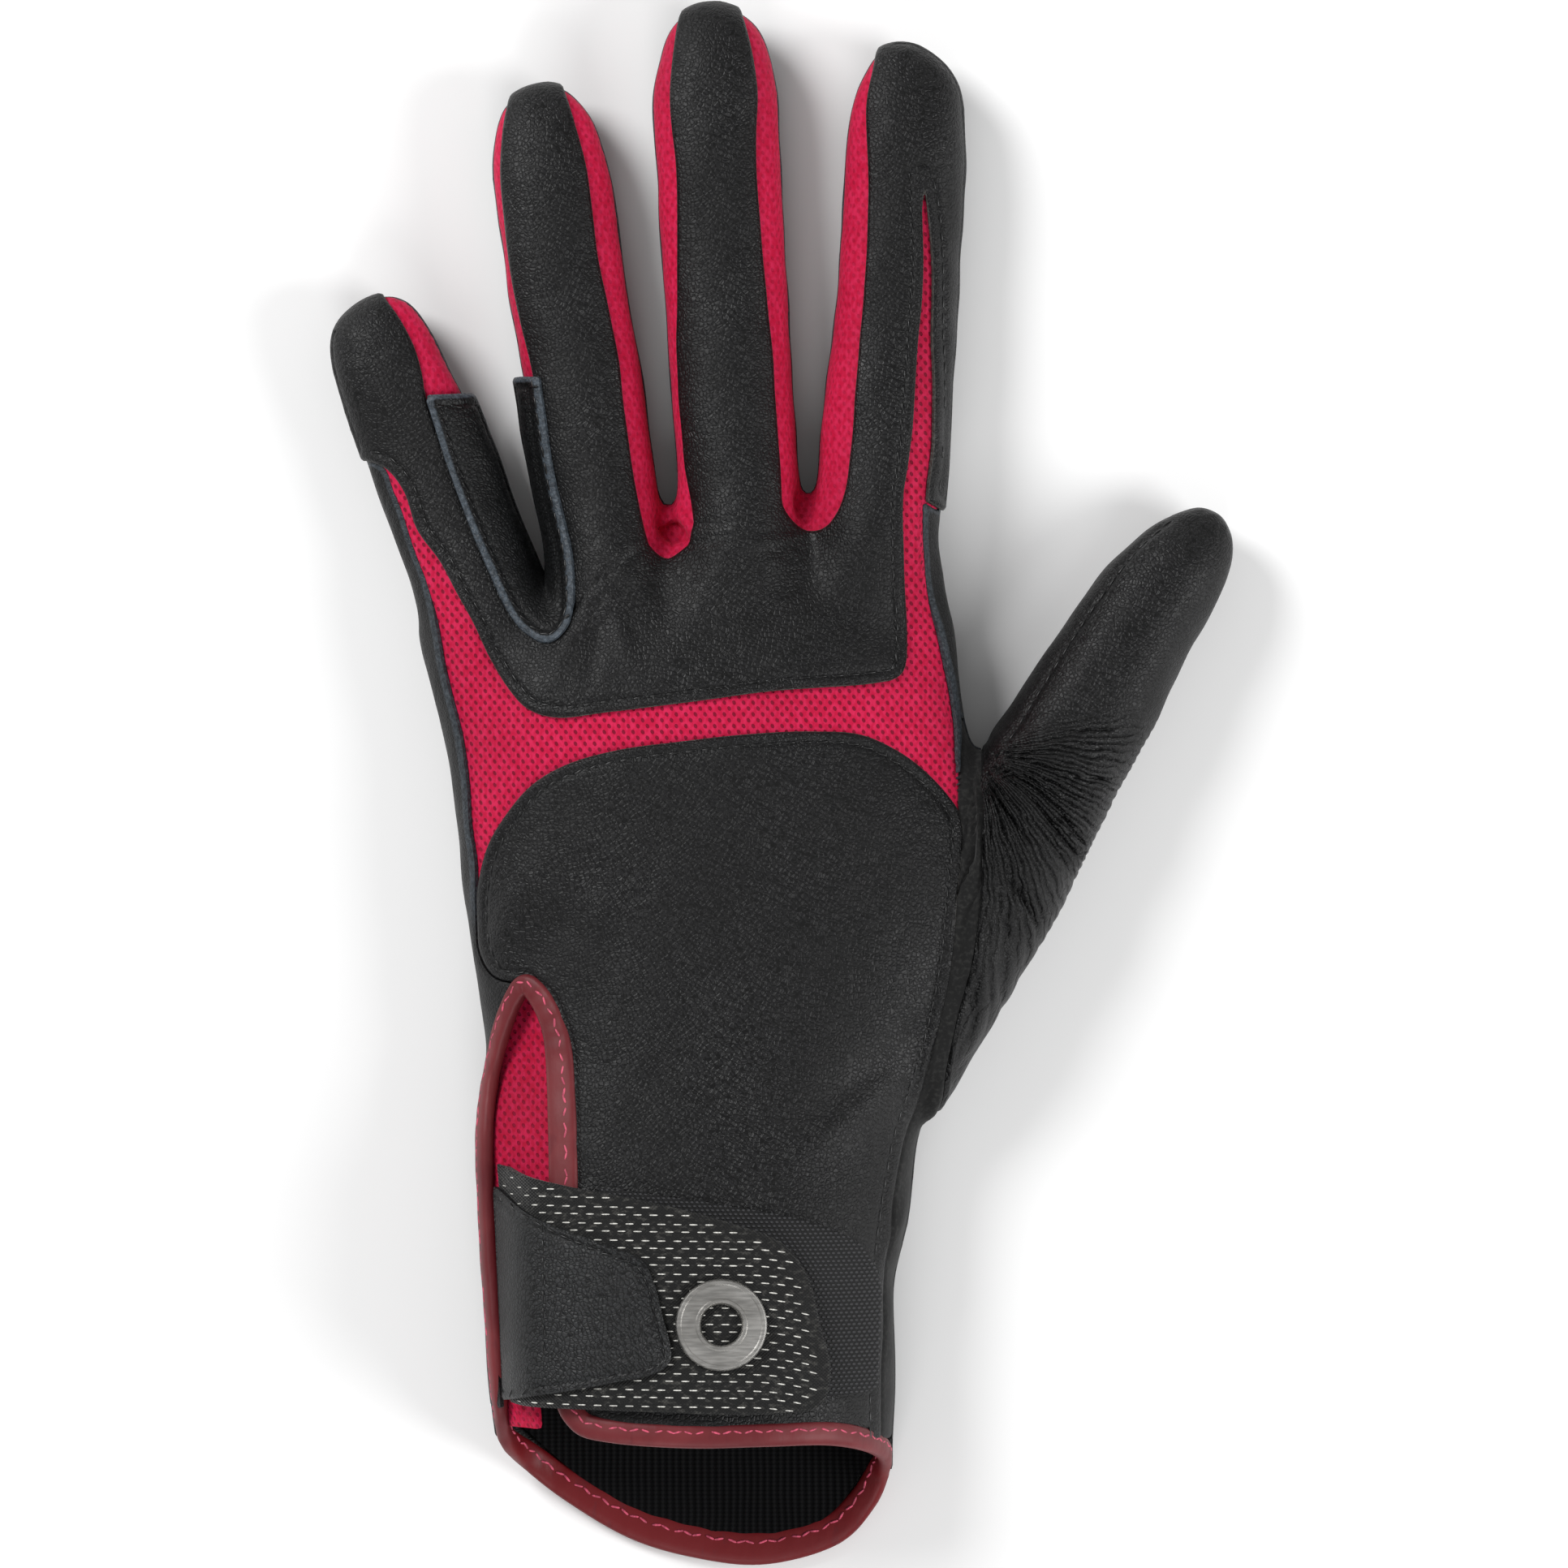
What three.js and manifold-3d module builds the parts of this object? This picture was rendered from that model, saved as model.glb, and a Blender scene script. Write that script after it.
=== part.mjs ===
// A left-hand riding glove, seen from the back of the hand, lying palm down. Millimetres, +Z up.
// +X is the thumb side, +Y points to the fingertips, the origin is under the middle of the palm.
// The glove is an empty shell of leather and mesh panels, cut from one smooth hand form.
import * as THREE from 'three';
import { mergeVertices } from 'three/addons/utils/BufferGeometryUtils.js';
import Module from 'manifold-3d';

const wasm = await Module();
wasm.setup();

// Driving dimensions
const HAND_WIDTH = 82;        // across the knuckles
const HAND_LENGTH = 158;      // from the lowest edge of the cuff to the finger roots
const HAND_DEPTH = 30;        // from the palm to the back, at mid hand
const LEATHER = 1.8;          // wall of the leather panels
const MESH_DROP = 0.7;        // how far the red mesh lies below the leather
const GAP = 0.3;              // clearance between neighbouring pieces
const SEAM_HEIGHT = 8.5;      // level of the side seam between palm and back
const BINDING_RADIUS = 1.65;  // rolled binding round the vent and the cuff
const BINDING_SINK = 0.9;     // binding's centre below the outer surface
const GUARD = 1.1;            // rein guard leather
const GUSSET = 1.1;           // vent gusset mesh
const GUSSET_SINK = 3.0;      // gusset's outer side below the outer surface
const LINING = 1.0;           // knit lining
const LINING_SINK = 2.1;      // lining's outer side below the outer surface
const PATCH = 1.0;            // woven patch under the strap
const STRAP = 1.6;            // woven strap
const TAB = 1.1;              // leather wedge on the strap
const RING_RADIUS = 7.15;     // metal ring, outside
const RING_HOLE = 3.15;       // metal ring, inside
const RING_THICKNESS = 1.2;

// Fingers and thumb: lengths run from root to tip, lean turns the tip to the thumb side
const LITTLE = { length: 57.6, width: 20, depth: 15, lean: -17.9, root: [-0.421, 0.211] };
const RING = { length: 81.1, width: 20, depth: 16.5, lean: -7.6, root: [-0.184, 0.259] };
const MIDDLE = { length: 89.3, width: 20, depth: 17, lean: -3.0, root: [0.070, 0.284] };
const INDEX = { length: 77.8, width: 20, depth: 16.5, lean: 3.4, root: [0.331, 0.316] };
const THUMB = { length: 75.2, width: 24, depth: 19, lean: 30.7, root: [0.500, -0.065] };

// Half widths of the fingers, as shares of the finger's width, at shares of its length
const FINGER_STATIONS = [-0.25, 0, 0.2, 0.5, 0.8, 0.9, 0.95, 0.985, 1];
LITTLE.left = [0.28, 0.43, 0.455, 0.495, 0.505, 0.46, 0.37, 0.2, 0.08];
LITTLE.right = [0.42, 0.5, 0.53, 0.475, 0.39, 0.325, 0.26, 0.16, 0.07];
RING.left = [0.44, 0.46, 0.46, 0.495, 0.525, 0.455, 0.385, 0.26, 0.12];
RING.right = [0.44, 0.5, 0.52, 0.485, 0.465, 0.405, 0.32, 0.21, 0.1];
MIDDLE.left = [0.46, 0.5, 0.51, 0.53, 0.55, 0.475, 0.39, 0.26, 0.12];
MIDDLE.right = [0.46, 0.5, 0.51, 0.495, 0.505, 0.455, 0.38, 0.225, 0.1];
INDEX.left = [0.46, 0.53, 0.53, 0.465, 0.455, 0.405, 0.325, 0.235, 0.12];
INDEX.right = [0.28, 0.5, 0.51, 0.515, 0.495, 0.455, 0.35, 0.18, 0.07];
// Top and underside of every finger at those stations, as shares of its depth
const FINGER_OVER = [1.05, 1.36, 1.23, 1.07, 1.0, 0.94, 0.86, 0.74, 0.62];
const FINGER_UNDER = [0, 0, 0, 0, 0, 0.03, 0.09, 0.2, 0.36];

// Sections of the thumb, which fan out from the fork: both ends as shares of its length and
// width, top and underside as shares of its depth. The top rises and falls with the gathers.
const THUMB_ROWS = [
  { leftAlong: 0.24, left: -0.70, rightAlong: -0.44, right: 0.20, under: 0, over: 1.02 },
  { leftAlong: 0.30, left: -0.45, rightAlong: -0.37, right: 0.50, under: 0, over: 1.18 },
  { leftAlong: 0.32, left: -0.46, rightAlong: -0.13, right: 0.50, under: 0, over: 1.24 },
  { leftAlong: 0.34, left: -0.46, rightAlong: -0.02, right: 0.50, under: 0, over: 1.15 },
  { leftAlong: 0.37, left: -0.465, rightAlong: 0.10, right: 0.505, under: 0, over: 1.2 },
  { leftAlong: 0.40, left: -0.46, rightAlong: 0.21, right: 0.47, under: 0, over: 1.08 },
  { leftAlong: 0.43, left: -0.45, rightAlong: 0.32, right: 0.44, under: 0, over: 1.12 },
  { leftAlong: 0.51, left: -0.44, rightAlong: 0.475, right: 0.42, under: 0, over: 1.03 },
  { leftAlong: 0.60, left: -0.425, rightAlong: 0.63, right: 0.39, under: 0, over: 1.01 },
  { leftAlong: 0.72, left: -0.40, rightAlong: 0.74, right: 0.36, under: 0, over: 0.97 },
  { leftAlong: 0.83, left: -0.33, rightAlong: 0.86, right: 0.345, under: 0.02, over: 0.92 },
  { leftAlong: 0.915, left: -0.24, rightAlong: 0.93, right: 0.305, under: 0.08, over: 0.85 },
  { leftAlong: 0.96, left: -0.14, rightAlong: 0.972, right: 0.22, under: 0.18, over: 0.74 },
  { leftAlong: 0.99, left: -0.05, rightAlong: 0.998, right: 0.095, under: 0.34, over: 0.58 },
];

// Sections of the hand from cuff to finger roots, as shares of its length, width and depth.
// Slant is how much further along the thumb side of the section lies.
const HAND_ROWS = [
  { along: -0.90, slant: 0, left: -0.398, right: 0.356, under: 0.045, over: 1.12 },
  { along: -0.60, slant: 0, left: -0.401, right: 0.356, under: 0.045, over: 1.12 },
  { along: -0.52, slant: 0, left: -0.417, right: 0.361, under: 0, over: 1.1 },
  { along: -0.44, slant: 0, left: -0.424, right: 0.357, under: 0, over: 1.07 },
  { along: -0.36, slant: 0, left: -0.432, right: 0.388, under: 0, over: 1.03 },
  { along: -0.28, slant: 0, left: -0.44, right: 0.405, under: 0, over: 0.98 },
  { along: -0.20, slant: 0, left: -0.42, right: 0.455, under: 0, over: 0.94 },
  { along: -0.12, slant: 0, left: -0.437, right: 0.55, under: 0, over: 0.92 },
  { along: -0.04, slant: 0, left: -0.464, right: 0.6, under: 0, over: 0.91 },
  { along: 0.03, slant: 0, left: -0.475, right: 0.58, under: 0, over: 0.9 },
  { along: 0.08, slant: 0, left: -0.488, right: 0.53, under: 0, over: 0.89 },
  { along: 0.13, slant: 0.01, left: -0.505, right: 0.492, under: 0, over: 0.87 },
  { along: 0.19, slant: 0.03, left: -0.53, right: 0.478, under: 0, over: 0.82 },
  { along: 0.25, slant: 0.06, left: -0.55, right: 0.462, under: 0, over: 0.70 },
  { along: 0.30, slant: 0.08, left: -0.54, right: 0.44, under: 0.05, over: 0.54 },
  { along: 0.33, slant: 0.085, left: -0.5, right: 0.4, under: 0.15, over: 0.40 },
];
const HAND_SIDES = 20;
const OUTSIDE = { finger: 12, thumb: 14 };
const INSIDE = { finger: 8, thumb: 10 };
const UPPER_ROUNDNESS = 2.3;
const LOWER_ROUNDNESS = 3.2;
const FLOOR_PRESS = 1.12;      // the underside is pressed flat where it rests

// Panel outlines seen from above: across is a share of the hand's width, along of its length
const BACK_LEFT = [
  [-0.601, 0.356], [-0.559, 0.292], [-0.537, 0.259], [-0.515, 0.223], [-0.503, 0.190],
  [-0.489, 0.162], [-0.464, 0.097], [-0.451, 0.032], [-0.442, -0.008], [-0.439, -0.073],
];
const SEAM_TO_VENT = [[-0.43, -0.1], [-0.40, -0.125], [-0.343, -0.131]];
const VENT_RIGHT = [
  [-0.309, -0.144], [-0.281, -0.172], [-0.268, -0.211], [-0.264, -0.267], [-0.262, -0.324],
  [-0.261, -0.446], [-0.259, -0.527], [-0.250, -0.547], [-0.226, -0.562], [-0.187, -0.571],
];
const VENT_LEFT = [
  [-0.365, -0.144], [-0.393, -0.186], [-0.413, -0.235], [-0.420, -0.284], [-0.415, -0.365],
  [-0.401, -0.462], [-0.390, -0.551],
];
const BACK_CUFF = [[-0.125, -0.577], [-0.031, -0.579], [0.094, -0.577], [0.219, -0.575], [0.29, -0.58]];
const PALM_CUFF = [
  [-0.390, -0.585], [-0.351, -0.600], [-0.259, -0.638], [-0.134, -0.675], [-0.012, -0.693],
  [0.086, -0.700], [0.190, -0.693], [0.262, -0.673], [0.312, -0.642], [0.335, -0.615],
];
const PANEL_TOP = [
  [-0.439, -0.073], [-0.436, -0.032], [-0.420, 0], [-0.387, 0.032], [-0.331, 0.067],
  [-0.265, 0.087], [-0.172, 0.101], [-0.047, 0.110], [0.078, 0.117], [0.203, 0.120],
  [0.297, 0.117], [0.367, 0.101], [0.429, 0.077], [0.465, 0.057], [0.487, 0.038],
];
const PANEL_RIGHT = [
  [0.481, -0.041], [0.465, -0.122], [0.430, -0.203], [0.380, -0.284], [0.366, -0.32],
  [0.352, -0.365], [0.342, -0.413], [0.336, -0.478], [0.335, -0.527], [0.335, -0.595],
];
const STRIP_TOP = [[0.488, 0.134], [0.487, 0.089]];
const THUMB_SEAM = [
  [0.528, 0.097], [0.526, 0.041], [0.524, -0.041], [0.507, -0.113], [0.481, -0.162],
  [0.462, -0.211], [0.450, -0.243], [0.437, -0.261],
];
const WRAP_RIGHT = [
  [0.484, 0.053], [0.481, 0.097], [0.471, 0.162], [0.457, 0.194], [0.443, 0.227],
  [0.431, 0.255], [0.426, 0.292],
];
const KNUCKLE_LEFT = [
  [-0.293, 0.134], [-0.343, 0.144], [-0.372, 0.160], [-0.412, 0.193], [-0.443, 0.227],
  [-0.478, 0.259], [-0.510, 0.290], [-0.553, 0.322],
];
const KNUCKLE_RIGHT = [[0.378, 0.292], [0.382, 0.259], [0.387, 0.211], [0.381, 0.185], [0.367, 0.172]];
const KNUCKLE_BOTTOM = [[0.336, 0.170], [0.125, 0.160], [-0.031, 0.149], [-0.187, 0.139]];
const FORK_LITTLE_RING = [[-0.30, 0.262], [-0.29, 0.247], [-0.27, 0.243], [-0.25, 0.255]];
const FORK_RING_MIDDLE = [[-0.125, 0.332], [-0.109, 0.312], [-0.066, 0.295], [-0.032, 0.312]];
const FORK_MIDDLE_INDEX = [[0.150, 0.344], [0.169, 0.330], [0.208, 0.319], [0.240, 0.328]];
const GUARD_FORK = [[-0.375, 0.235], [-0.345, 0.217], [-0.300, 0.206], [-0.265, 0.218], [-0.251, 0.245]];
const STRAP_OUTLINE = [
  [-0.398, -0.311], [-0.265, -0.328], [-0.109, -0.344], [0.047, -0.365], [0.140, -0.385],
  [0.180, -0.413], [0.203, -0.462], [0.222, -0.518], [0.203, -0.545], [0.140, -0.551],
  [-0.109, -0.549], [-0.372, -0.544],
];
const TAB_OUTLINE = [
  [-0.385, -0.337], [-0.281, -0.365], [-0.140, -0.385], [-0.101, -0.413], [-0.066, -0.478],
  [-0.066, -0.502], [-0.109, -0.518], [-0.265, -0.527], [-0.36, -0.536],
];
const PATCH_OUTLINE = [
  [-0.200, -0.33], [-0.109, -0.336], [0.047, -0.348], [0.203, -0.365], [0.289, -0.387],
  [0.322, -0.421], [0.322, -0.478], [0.319, -0.531], [0.226, -0.536], [-0.109, -0.534],
  [-0.190, -0.520],
];
const RING_PLACE = [0.031, -0.463];
// The binding's loop: side runs from 1 on the back of the hand to -1 on the palm
const BINDING_PATH = [
  { across: -0.343, along: -0.131, side: 1 }, { across: -0.309, along: -0.144, side: 1 },
  { across: -0.281, along: -0.172, side: 1 }, { across: -0.268, along: -0.211, side: 1 },
  { across: -0.263, along: -0.300, side: 1 }, { across: -0.261, along: -0.420, side: 1 },
  { across: -0.259, along: -0.520, side: 1 }, { across: -0.240, along: -0.557, side: 1 },
  { across: -0.180, along: -0.572, side: 1 }, { across: -0.031, along: -0.579, side: 1 },
  { across: 0.110, along: -0.577, side: 1 }, { across: 0.230, along: -0.575, side: 1 },
  { across: 0.305, along: -0.583, side: 0.92 }, { across: 0.342, along: -0.596, side: 0.3 },
  { across: 0.335, along: -0.615, side: -0.75 }, { across: 0.300, along: -0.650, side: -1 },
  { across: 0.235, along: -0.682, side: -1 }, { across: 0.110, along: -0.699, side: -1 },
  { across: -0.012, along: -0.693, side: -1 }, { across: -0.134, along: -0.675, side: -1 },
  { across: -0.259, along: -0.638, side: -1 }, { across: -0.345, along: -0.603, side: -0.9 },
  { across: -0.385, along: -0.580, side: -0.1 }, { across: -0.389, along: -0.545, side: 0.75 },
  { across: -0.400, along: -0.462, side: 1 }, { across: -0.414, along: -0.365, side: 1 },
  { across: -0.419, along: -0.284, side: 1 }, { across: -0.412, along: -0.235, side: 1 },
  { across: -0.393, along: -0.186, side: 1 }, { across: -0.368, along: -0.148, side: 1 },
];
const BINDING_STEPS = 64;
const BINDING_SIDES = 6;
const CRUMB = 0.5;             // cubic millimetres
const LINING_DEPTH = 0.40;     // how far up the hand the lining starts, share of the length
const FAR = 1.3;               // beyond every outline, as a share

function toSolid(geometry) {
  const bare = geometry.index ? geometry.toNonIndexed() : geometry.clone();
  bare.deleteAttribute('normal');
  bare.deleteAttribute('uv');
  const merged = mergeVertices(bare, 1e-4);
  return new wasm.Manifold(new wasm.Mesh({
    numProp: 3,
    vertProperties: new Float32Array(merged.attributes.position.array),
    triVerts: new Uint32Array(merged.index.array),
  }));
}

// Leaves out the crumbs that a cut along a curved edge can leave beside a piece
function withoutCrumbs(solid) {
  const bodies = solid.decompose().filter((body) => body.volume() > CRUMB);
  return bodies.reduce((whole, body) => whole.add(body));
}

function toGeometry(solid) {
  const mesh = solid.getMesh();
  const geometry = new THREE.BufferGeometry();
  geometry.setAttribute('position', new THREE.BufferAttribute(mesh.vertProperties, 3));
  geometry.setIndex(new THREE.BufferAttribute(mesh.triVerts, 1));
  return geometry;
}

// Joins rings of equal point count into one closed skin, with a fan over each end
function loft(rings) {
  const sides = rings[0].length;
  const points = rings.flat();
  const faces = [];
  for (let i = 0; i + 1 < rings.length; i += 1) {
    for (let k = 0; k < sides; k += 1) {
      const a = i * sides + k;
      const b = i * sides + (k + 1) % sides;
      faces.push(a, a + sides, b, b, a + sides, b + sides);
    }
  }
  const ends = [{ start: 0, flip: false }, { start: (rings.length - 1) * sides, flip: true }];
  for (const { start, flip } of ends) {
    const centre = new THREE.Vector3();
    for (let k = 0; k < sides; k += 1) centre.add(points[start + k]);
    const middle = points.push(centre.divideScalar(sides)) - 1;
    for (let k = 0; k < sides; k += 1) {
      const a = start + k;
      const b = start + (k + 1) % sides;
      faces.push(middle, flip ? b : a, flip ? a : b);
    }
  }
  const geometry = new THREE.BufferGeometry().setFromPoints(points);
  geometry.setIndex(faces);
  return toSolid(geometry);
}

const signedPower = (value, power) => Math.sign(value) * Math.abs(value) ** power;

// One cross-section in the upright plane through left and right, grown outwards by grow.
// It is widest at the side seam.
function section({ left, right, under, over }, sides, grow) {
  const centre = left.clone().add(right).multiplyScalar(0.5);
  const half = right.clone().sub(left).multiplyScalar(0.5);
  const reach = Math.max(half.length() + grow, GAP);
  half.setLength(reach);
  const rise = Math.max(over + grow - SEAM_HEIGHT, GAP);
  const drop = Math.max(SEAM_HEIGHT - under + grow, GAP);
  const ring = [];
  for (let k = 0; k < sides; k += 1) {
    const turn = 2 * Math.PI * k / sides;
    const upper = Math.sin(turn) >= 0;
    const power = 2 / (upper ? UPPER_ROUNDNESS : LOWER_ROUNDNESS);
    const across = signedPower(Math.cos(turn), power);
    const lift = Math.abs(Math.sin(turn)) ** power;
    const height = upper ? rise * lift : -drop * Math.min(1, FLOOR_PRESS * lift);
    const place = centre.clone().addScaledVector(half, across);
    ring.push(new THREE.Vector3(place.x, place.y, SEAM_HEIGHT + height));
  }
  return ring;
}

const flat = (across, along) => new THREE.Vector2(across * HAND_WIDTH, along * HAND_LENGTH);
const plan = (rows) => rows.map(([across, along]) => flat(across, along));

function handRow(row) {
  return {
    left: flat(row.left, row.along - row.slant / 2),
    right: flat(row.right, row.along + row.slant / 2),
    under: row.under * HAND_DEPTH,
    over: row.over * HAND_DEPTH,
  };
}

// Interpolates a list of values given at the finger stations
function atStation(values, along) {
  const stations = FINGER_STATIONS;
  const last = stations.length - 1;
  const place = Math.min(Math.max(along, stations[0]), stations[last]);
  let i = 0;
  while (i < last - 1 && stations[i + 1] < place) i += 1;
  const share = (place - stations[i]) / (stations[i + 1] - stations[i]);
  return values[i] + (values[i + 1] - values[i]) * share;
}

// A point of a finger seen from above: side is -1 on its left edge and 1 on its right edge
function fingerPoint(finger, along, side) {
  const lean = THREE.MathUtils.degToRad(finger.lean);
  const forward = new THREE.Vector2(Math.sin(lean), Math.cos(lean));
  const across = new THREE.Vector2(Math.cos(lean), -Math.sin(lean));
  const half = atStation(side < 0 ? finger.left : finger.right, along) * finger.width;
  return flat(...finger.root)
    .addScaledVector(forward, along * finger.length)
    .addScaledVector(across, side * half);
}

const fingerEdge = (finger, rows) => rows.map(([along, side]) => fingerPoint(finger, along, side));

function fingerForm(finger, grow, sides) {
  const rings = FINGER_STATIONS.map((station, i) => {
    const tipPush = Math.max(0, station - 0.9) / 0.1 * grow / finger.length;
    const forward = fingerPoint(finger, station + tipPush, 0);
    const shift = forward.clone().sub(fingerPoint(finger, station, 0));
    return section({
      left: fingerPoint(finger, station, -1).add(shift),
      right: fingerPoint(finger, station, 1).add(shift),
      under: FINGER_UNDER[i] * finger.depth,
      over: FINGER_OVER[i] * finger.depth,
    }, sides, grow);
  });
  return loft(rings);
}

function thumbPoint(along, across) {
  const lean = THREE.MathUtils.degToRad(THUMB.lean);
  const forward = new THREE.Vector2(Math.sin(lean), Math.cos(lean));
  const sideways = new THREE.Vector2(Math.cos(lean), -Math.sin(lean));
  return flat(...THUMB.root)
    .addScaledVector(forward, along * THUMB.length)
    .addScaledVector(sideways, across * THUMB.width);
}

function thumbForm(grow, sides) {
  const rings = THUMB_ROWS.map((row) => {
    const push = Math.max(0, row.leftAlong - 0.9) / 0.1 * grow / THUMB.length;
    return section({
      left: thumbPoint(row.leftAlong + push, row.left),
      right: thumbPoint(row.rightAlong + push, row.right),
      under: row.under * THUMB.depth,
      over: row.over * THUMB.depth,
    }, sides, grow);
  });
  return loft(rings);
}

const wristForm = (grow) => loft(HAND_ROWS.map((row) => section(handRow(row), HAND_SIDES, grow)));

function gloveForm(grow, sides = OUTSIDE) {
  let form = wristForm(grow).add(thumbForm(grow, sides.thumb));
  for (const finger of [LITTLE, RING, MIDDLE, INDEX]) {
    form = form.add(fingerForm(finger, grow, sides.finger));
  }
  return form;
}

// Height of the hand's surface over a point, on the back (side 1), the palm (-1) or between
function skinHeight(place, side) {
  const rows = HAND_ROWS.map(handRow);
  let i = 0;
  while (i < rows.length - 2 && rows[i + 1].left.y < place.y) i += 1;
  const [a, b] = [rows[i], rows[i + 1]];
  const share = (place.y - a.left.y) / (b.left.y - a.left.y);
  const mix = (start, end) => start + (end - start) * share;
  const left = mix(a.left.x, b.left.x);
  const right = mix(a.right.x, b.right.x);
  const off = Math.min(0.985, Math.abs(2 * (place.x - left) / (right - left) - 1));
  const rise = (1 - off ** UPPER_ROUNDNESS) ** (1 / UPPER_ROUNDNESS);
  const drop = Math.min(1, FLOOR_PRESS * (1 - off ** LOWER_ROUNDNESS) ** (1 / LOWER_ROUNDNESS));
  const upper = SEAM_HEIGHT + (mix(a.over, b.over) - BINDING_SINK - SEAM_HEIGHT) * rise;
  const lower = SEAM_HEIGHT - (SEAM_HEIGHT - mix(a.under, b.under) - BINDING_SINK) * drop;
  return lower + (upper - lower) * (side + 1) / 2;
}

function signedArea(outline) {
  return outline.reduce((sum, point, i) => {
    const next = outline[(i + 1) % outline.length];
    return sum + (point.x * next.y - next.x * point.y) / 2;
  }, 0);
}

// Moves every edge of an outline outwards by margin
function widen(outline, margin) {
  const turn = Math.sign(signedArea(outline));
  return outline.map((point, i) => {
    const before = outline[(i + outline.length - 1) % outline.length];
    const after = outline[(i + 1) % outline.length];
    const first = point.clone().sub(before).normalize();
    const second = after.clone().sub(point).normalize();
    const out = new THREE.Vector2(first.y + second.y, -first.x - second.x).normalize();
    const cosine = Math.max(0.5, out.x * first.y - out.y * first.x);
    return point.clone().addScaledVector(out, turn * margin / cosine);
  });
}

// An upright block with the outline, from low to high
function block(outline, margin = 0, low = -FAR * HAND_DEPTH, high = 2 * FAR * HAND_DEPTH) {
  const shape = new THREE.Shape(margin === 0 ? outline : widen(outline, margin));
  const geometry = new THREE.ExtrudeGeometry(shape, { depth: high - low, bevelEnabled: false });
  geometry.translate(0, 0, low);
  return toSolid(geometry);
}

const everywhere = plan([[-FAR, -FAR], [FAR + 0.4, -FAR], [FAR + 0.4, FAR], [-FAR, FAR]]);
const above = (height) => block(everywhere, 0, height);
const below = (height) => block(everywhere, 0, -FAR * HAND_DEPTH, height);

// Regions seen from above
const backRegion = [
  ...fingerEdge(LITTLE, [[0.57, -2.4], [0.57, -1.02], [0.535, -0.75], [0.46, -0.72]]),
  ...plan(BACK_LEFT),
  ...plan(SEAM_TO_VENT),
  ...plan([[-0.33, -0.3], [-0.33, -FAR], [FAR, -FAR], [FAR, 0.134]]),
  ...plan(STRIP_TOP),
  ...plan(WRAP_RIGHT),
  ...fingerEdge(INDEX, [[0.07, 0.72], [0.055, 1.02], [0.055, 2.4]]),
  ...plan([[0.8, 0.9], [0.8, FAR - 0.1], [-FAR + 0.1, FAR - 0.1], [-FAR + 0.1, 0.45]]),
];
const openRegion = [
  ...plan([SEAM_TO_VENT[2]]),
  ...plan(VENT_RIGHT),
  ...plan(BACK_CUFF),
  ...plan([[FAR, -0.60], [FAR, -FAR + 0.1], [-FAR + 0.1, -FAR + 0.1], [-FAR + 0.1, -0.57]]),
  ...plan([...VENT_LEFT].reverse()),
];
const palmEnd = [
  ...plan([[-FAR + 0.1, -0.57]]),
  ...plan(PALM_CUFF),
  ...plan([[FAR, -0.60], [FAR, -FAR + 0.1], [-FAR + 0.1, -FAR + 0.1]]),
];
const panelRegion = [
  ...plan(PANEL_TOP),
  ...plan(PANEL_RIGHT),
  ...plan([[0.335, -0.95], [-0.33, -0.95], [-0.33, -0.3]]),
  ...plan([...SEAM_TO_VENT].reverse()),
];
const stripRegion = [
  ...plan(STRIP_TOP),
  ...plan([[0.487, 0.038]]),
  ...plan(PANEL_RIGHT),
  ...plan([[0.335, -0.95], [0.9, -0.95], [0.9, 0.134]]),
];
const thumbRegion = [
  ...plan(THUMB_SEAM),
  ...plan([[0.43, -0.30], [FAR + 0.3, -0.30], [FAR + 0.3, 0.8], [0.63, 0.8], [0.56, 0.2], [0.532, 0.115]]),
];
const knuckleRegion = [
  ...plan(KNUCKLE_LEFT),
  ...fingerEdge(LITTLE, [[0.46, -0.52], [0.535, -0.70], [0.57, -1.02], [0.57, -2.2], [1.25, -2.6]]),
  ...fingerEdge(LITTLE, [[1.25, 0.5], [0.985, 0.4], [0.91, 0.42], [0.82, 0.45], [0.74, 0.4]]),
  ...fingerEdge(LITTLE, [[0.685, 0.33], [0.43, 0.33], [0.19, 0.4]]),
  ...plan(FORK_LITTLE_RING),
  ...fingerEdge(RING, [[0.2, -0.7], [0.43, -0.78], [0.64, -0.86], [0.83, -0.84], [1.15, -0.5]]),
  ...fingerEdge(RING, [[1.15, 0.4], [0.83, 0.57], [0.64, 0.55], [0.45, 0.63], [0.26, 0.6]]),
  ...plan(FORK_RING_MIDDLE),
  ...fingerEdge(MIDDLE, [[0.19, -0.8], [0.36, -0.83], [0.53, -0.73], [0.7, -0.65], [0.85, -0.73]]),
  ...fingerEdge(MIDDLE, [[1.15, -0.5], [1.15, 0.5], [0.85, 0.65], [0.7, 0.55], [0.53, 0.59]]),
  ...fingerEdge(MIDDLE, [[0.36, 0.65], [0.19, 0.665]]),
  ...plan(FORK_MIDDLE_INDEX),
  ...fingerEdge(INDEX, [[0.15, -0.5], [0.41, -0.49], [0.54, -0.48], [0.74, -0.56], [0.87, -0.69]]),
  ...fingerEdge(INDEX, [[1.2, -0.6], [1.2, 2.2], [0.02, 2.2], [0.02, 0.8], [0.07, 0.74]]),
  ...fingerEdge(INDEX, [[0.148, 0.75], [0.346, 0.7], [0.412, 0.64], [0.544, 0.58], [0.66, 0.47]]),
  ...fingerEdge(INDEX, [[0.73, 0.33], [0.544, 0.44], [0.346, 0.43], [0.148, 0.395], [0.082, 0.35]]),
  ...plan(KNUCKLE_RIGHT),
  ...plan(KNUCKLE_BOTTOM),
];
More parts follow.
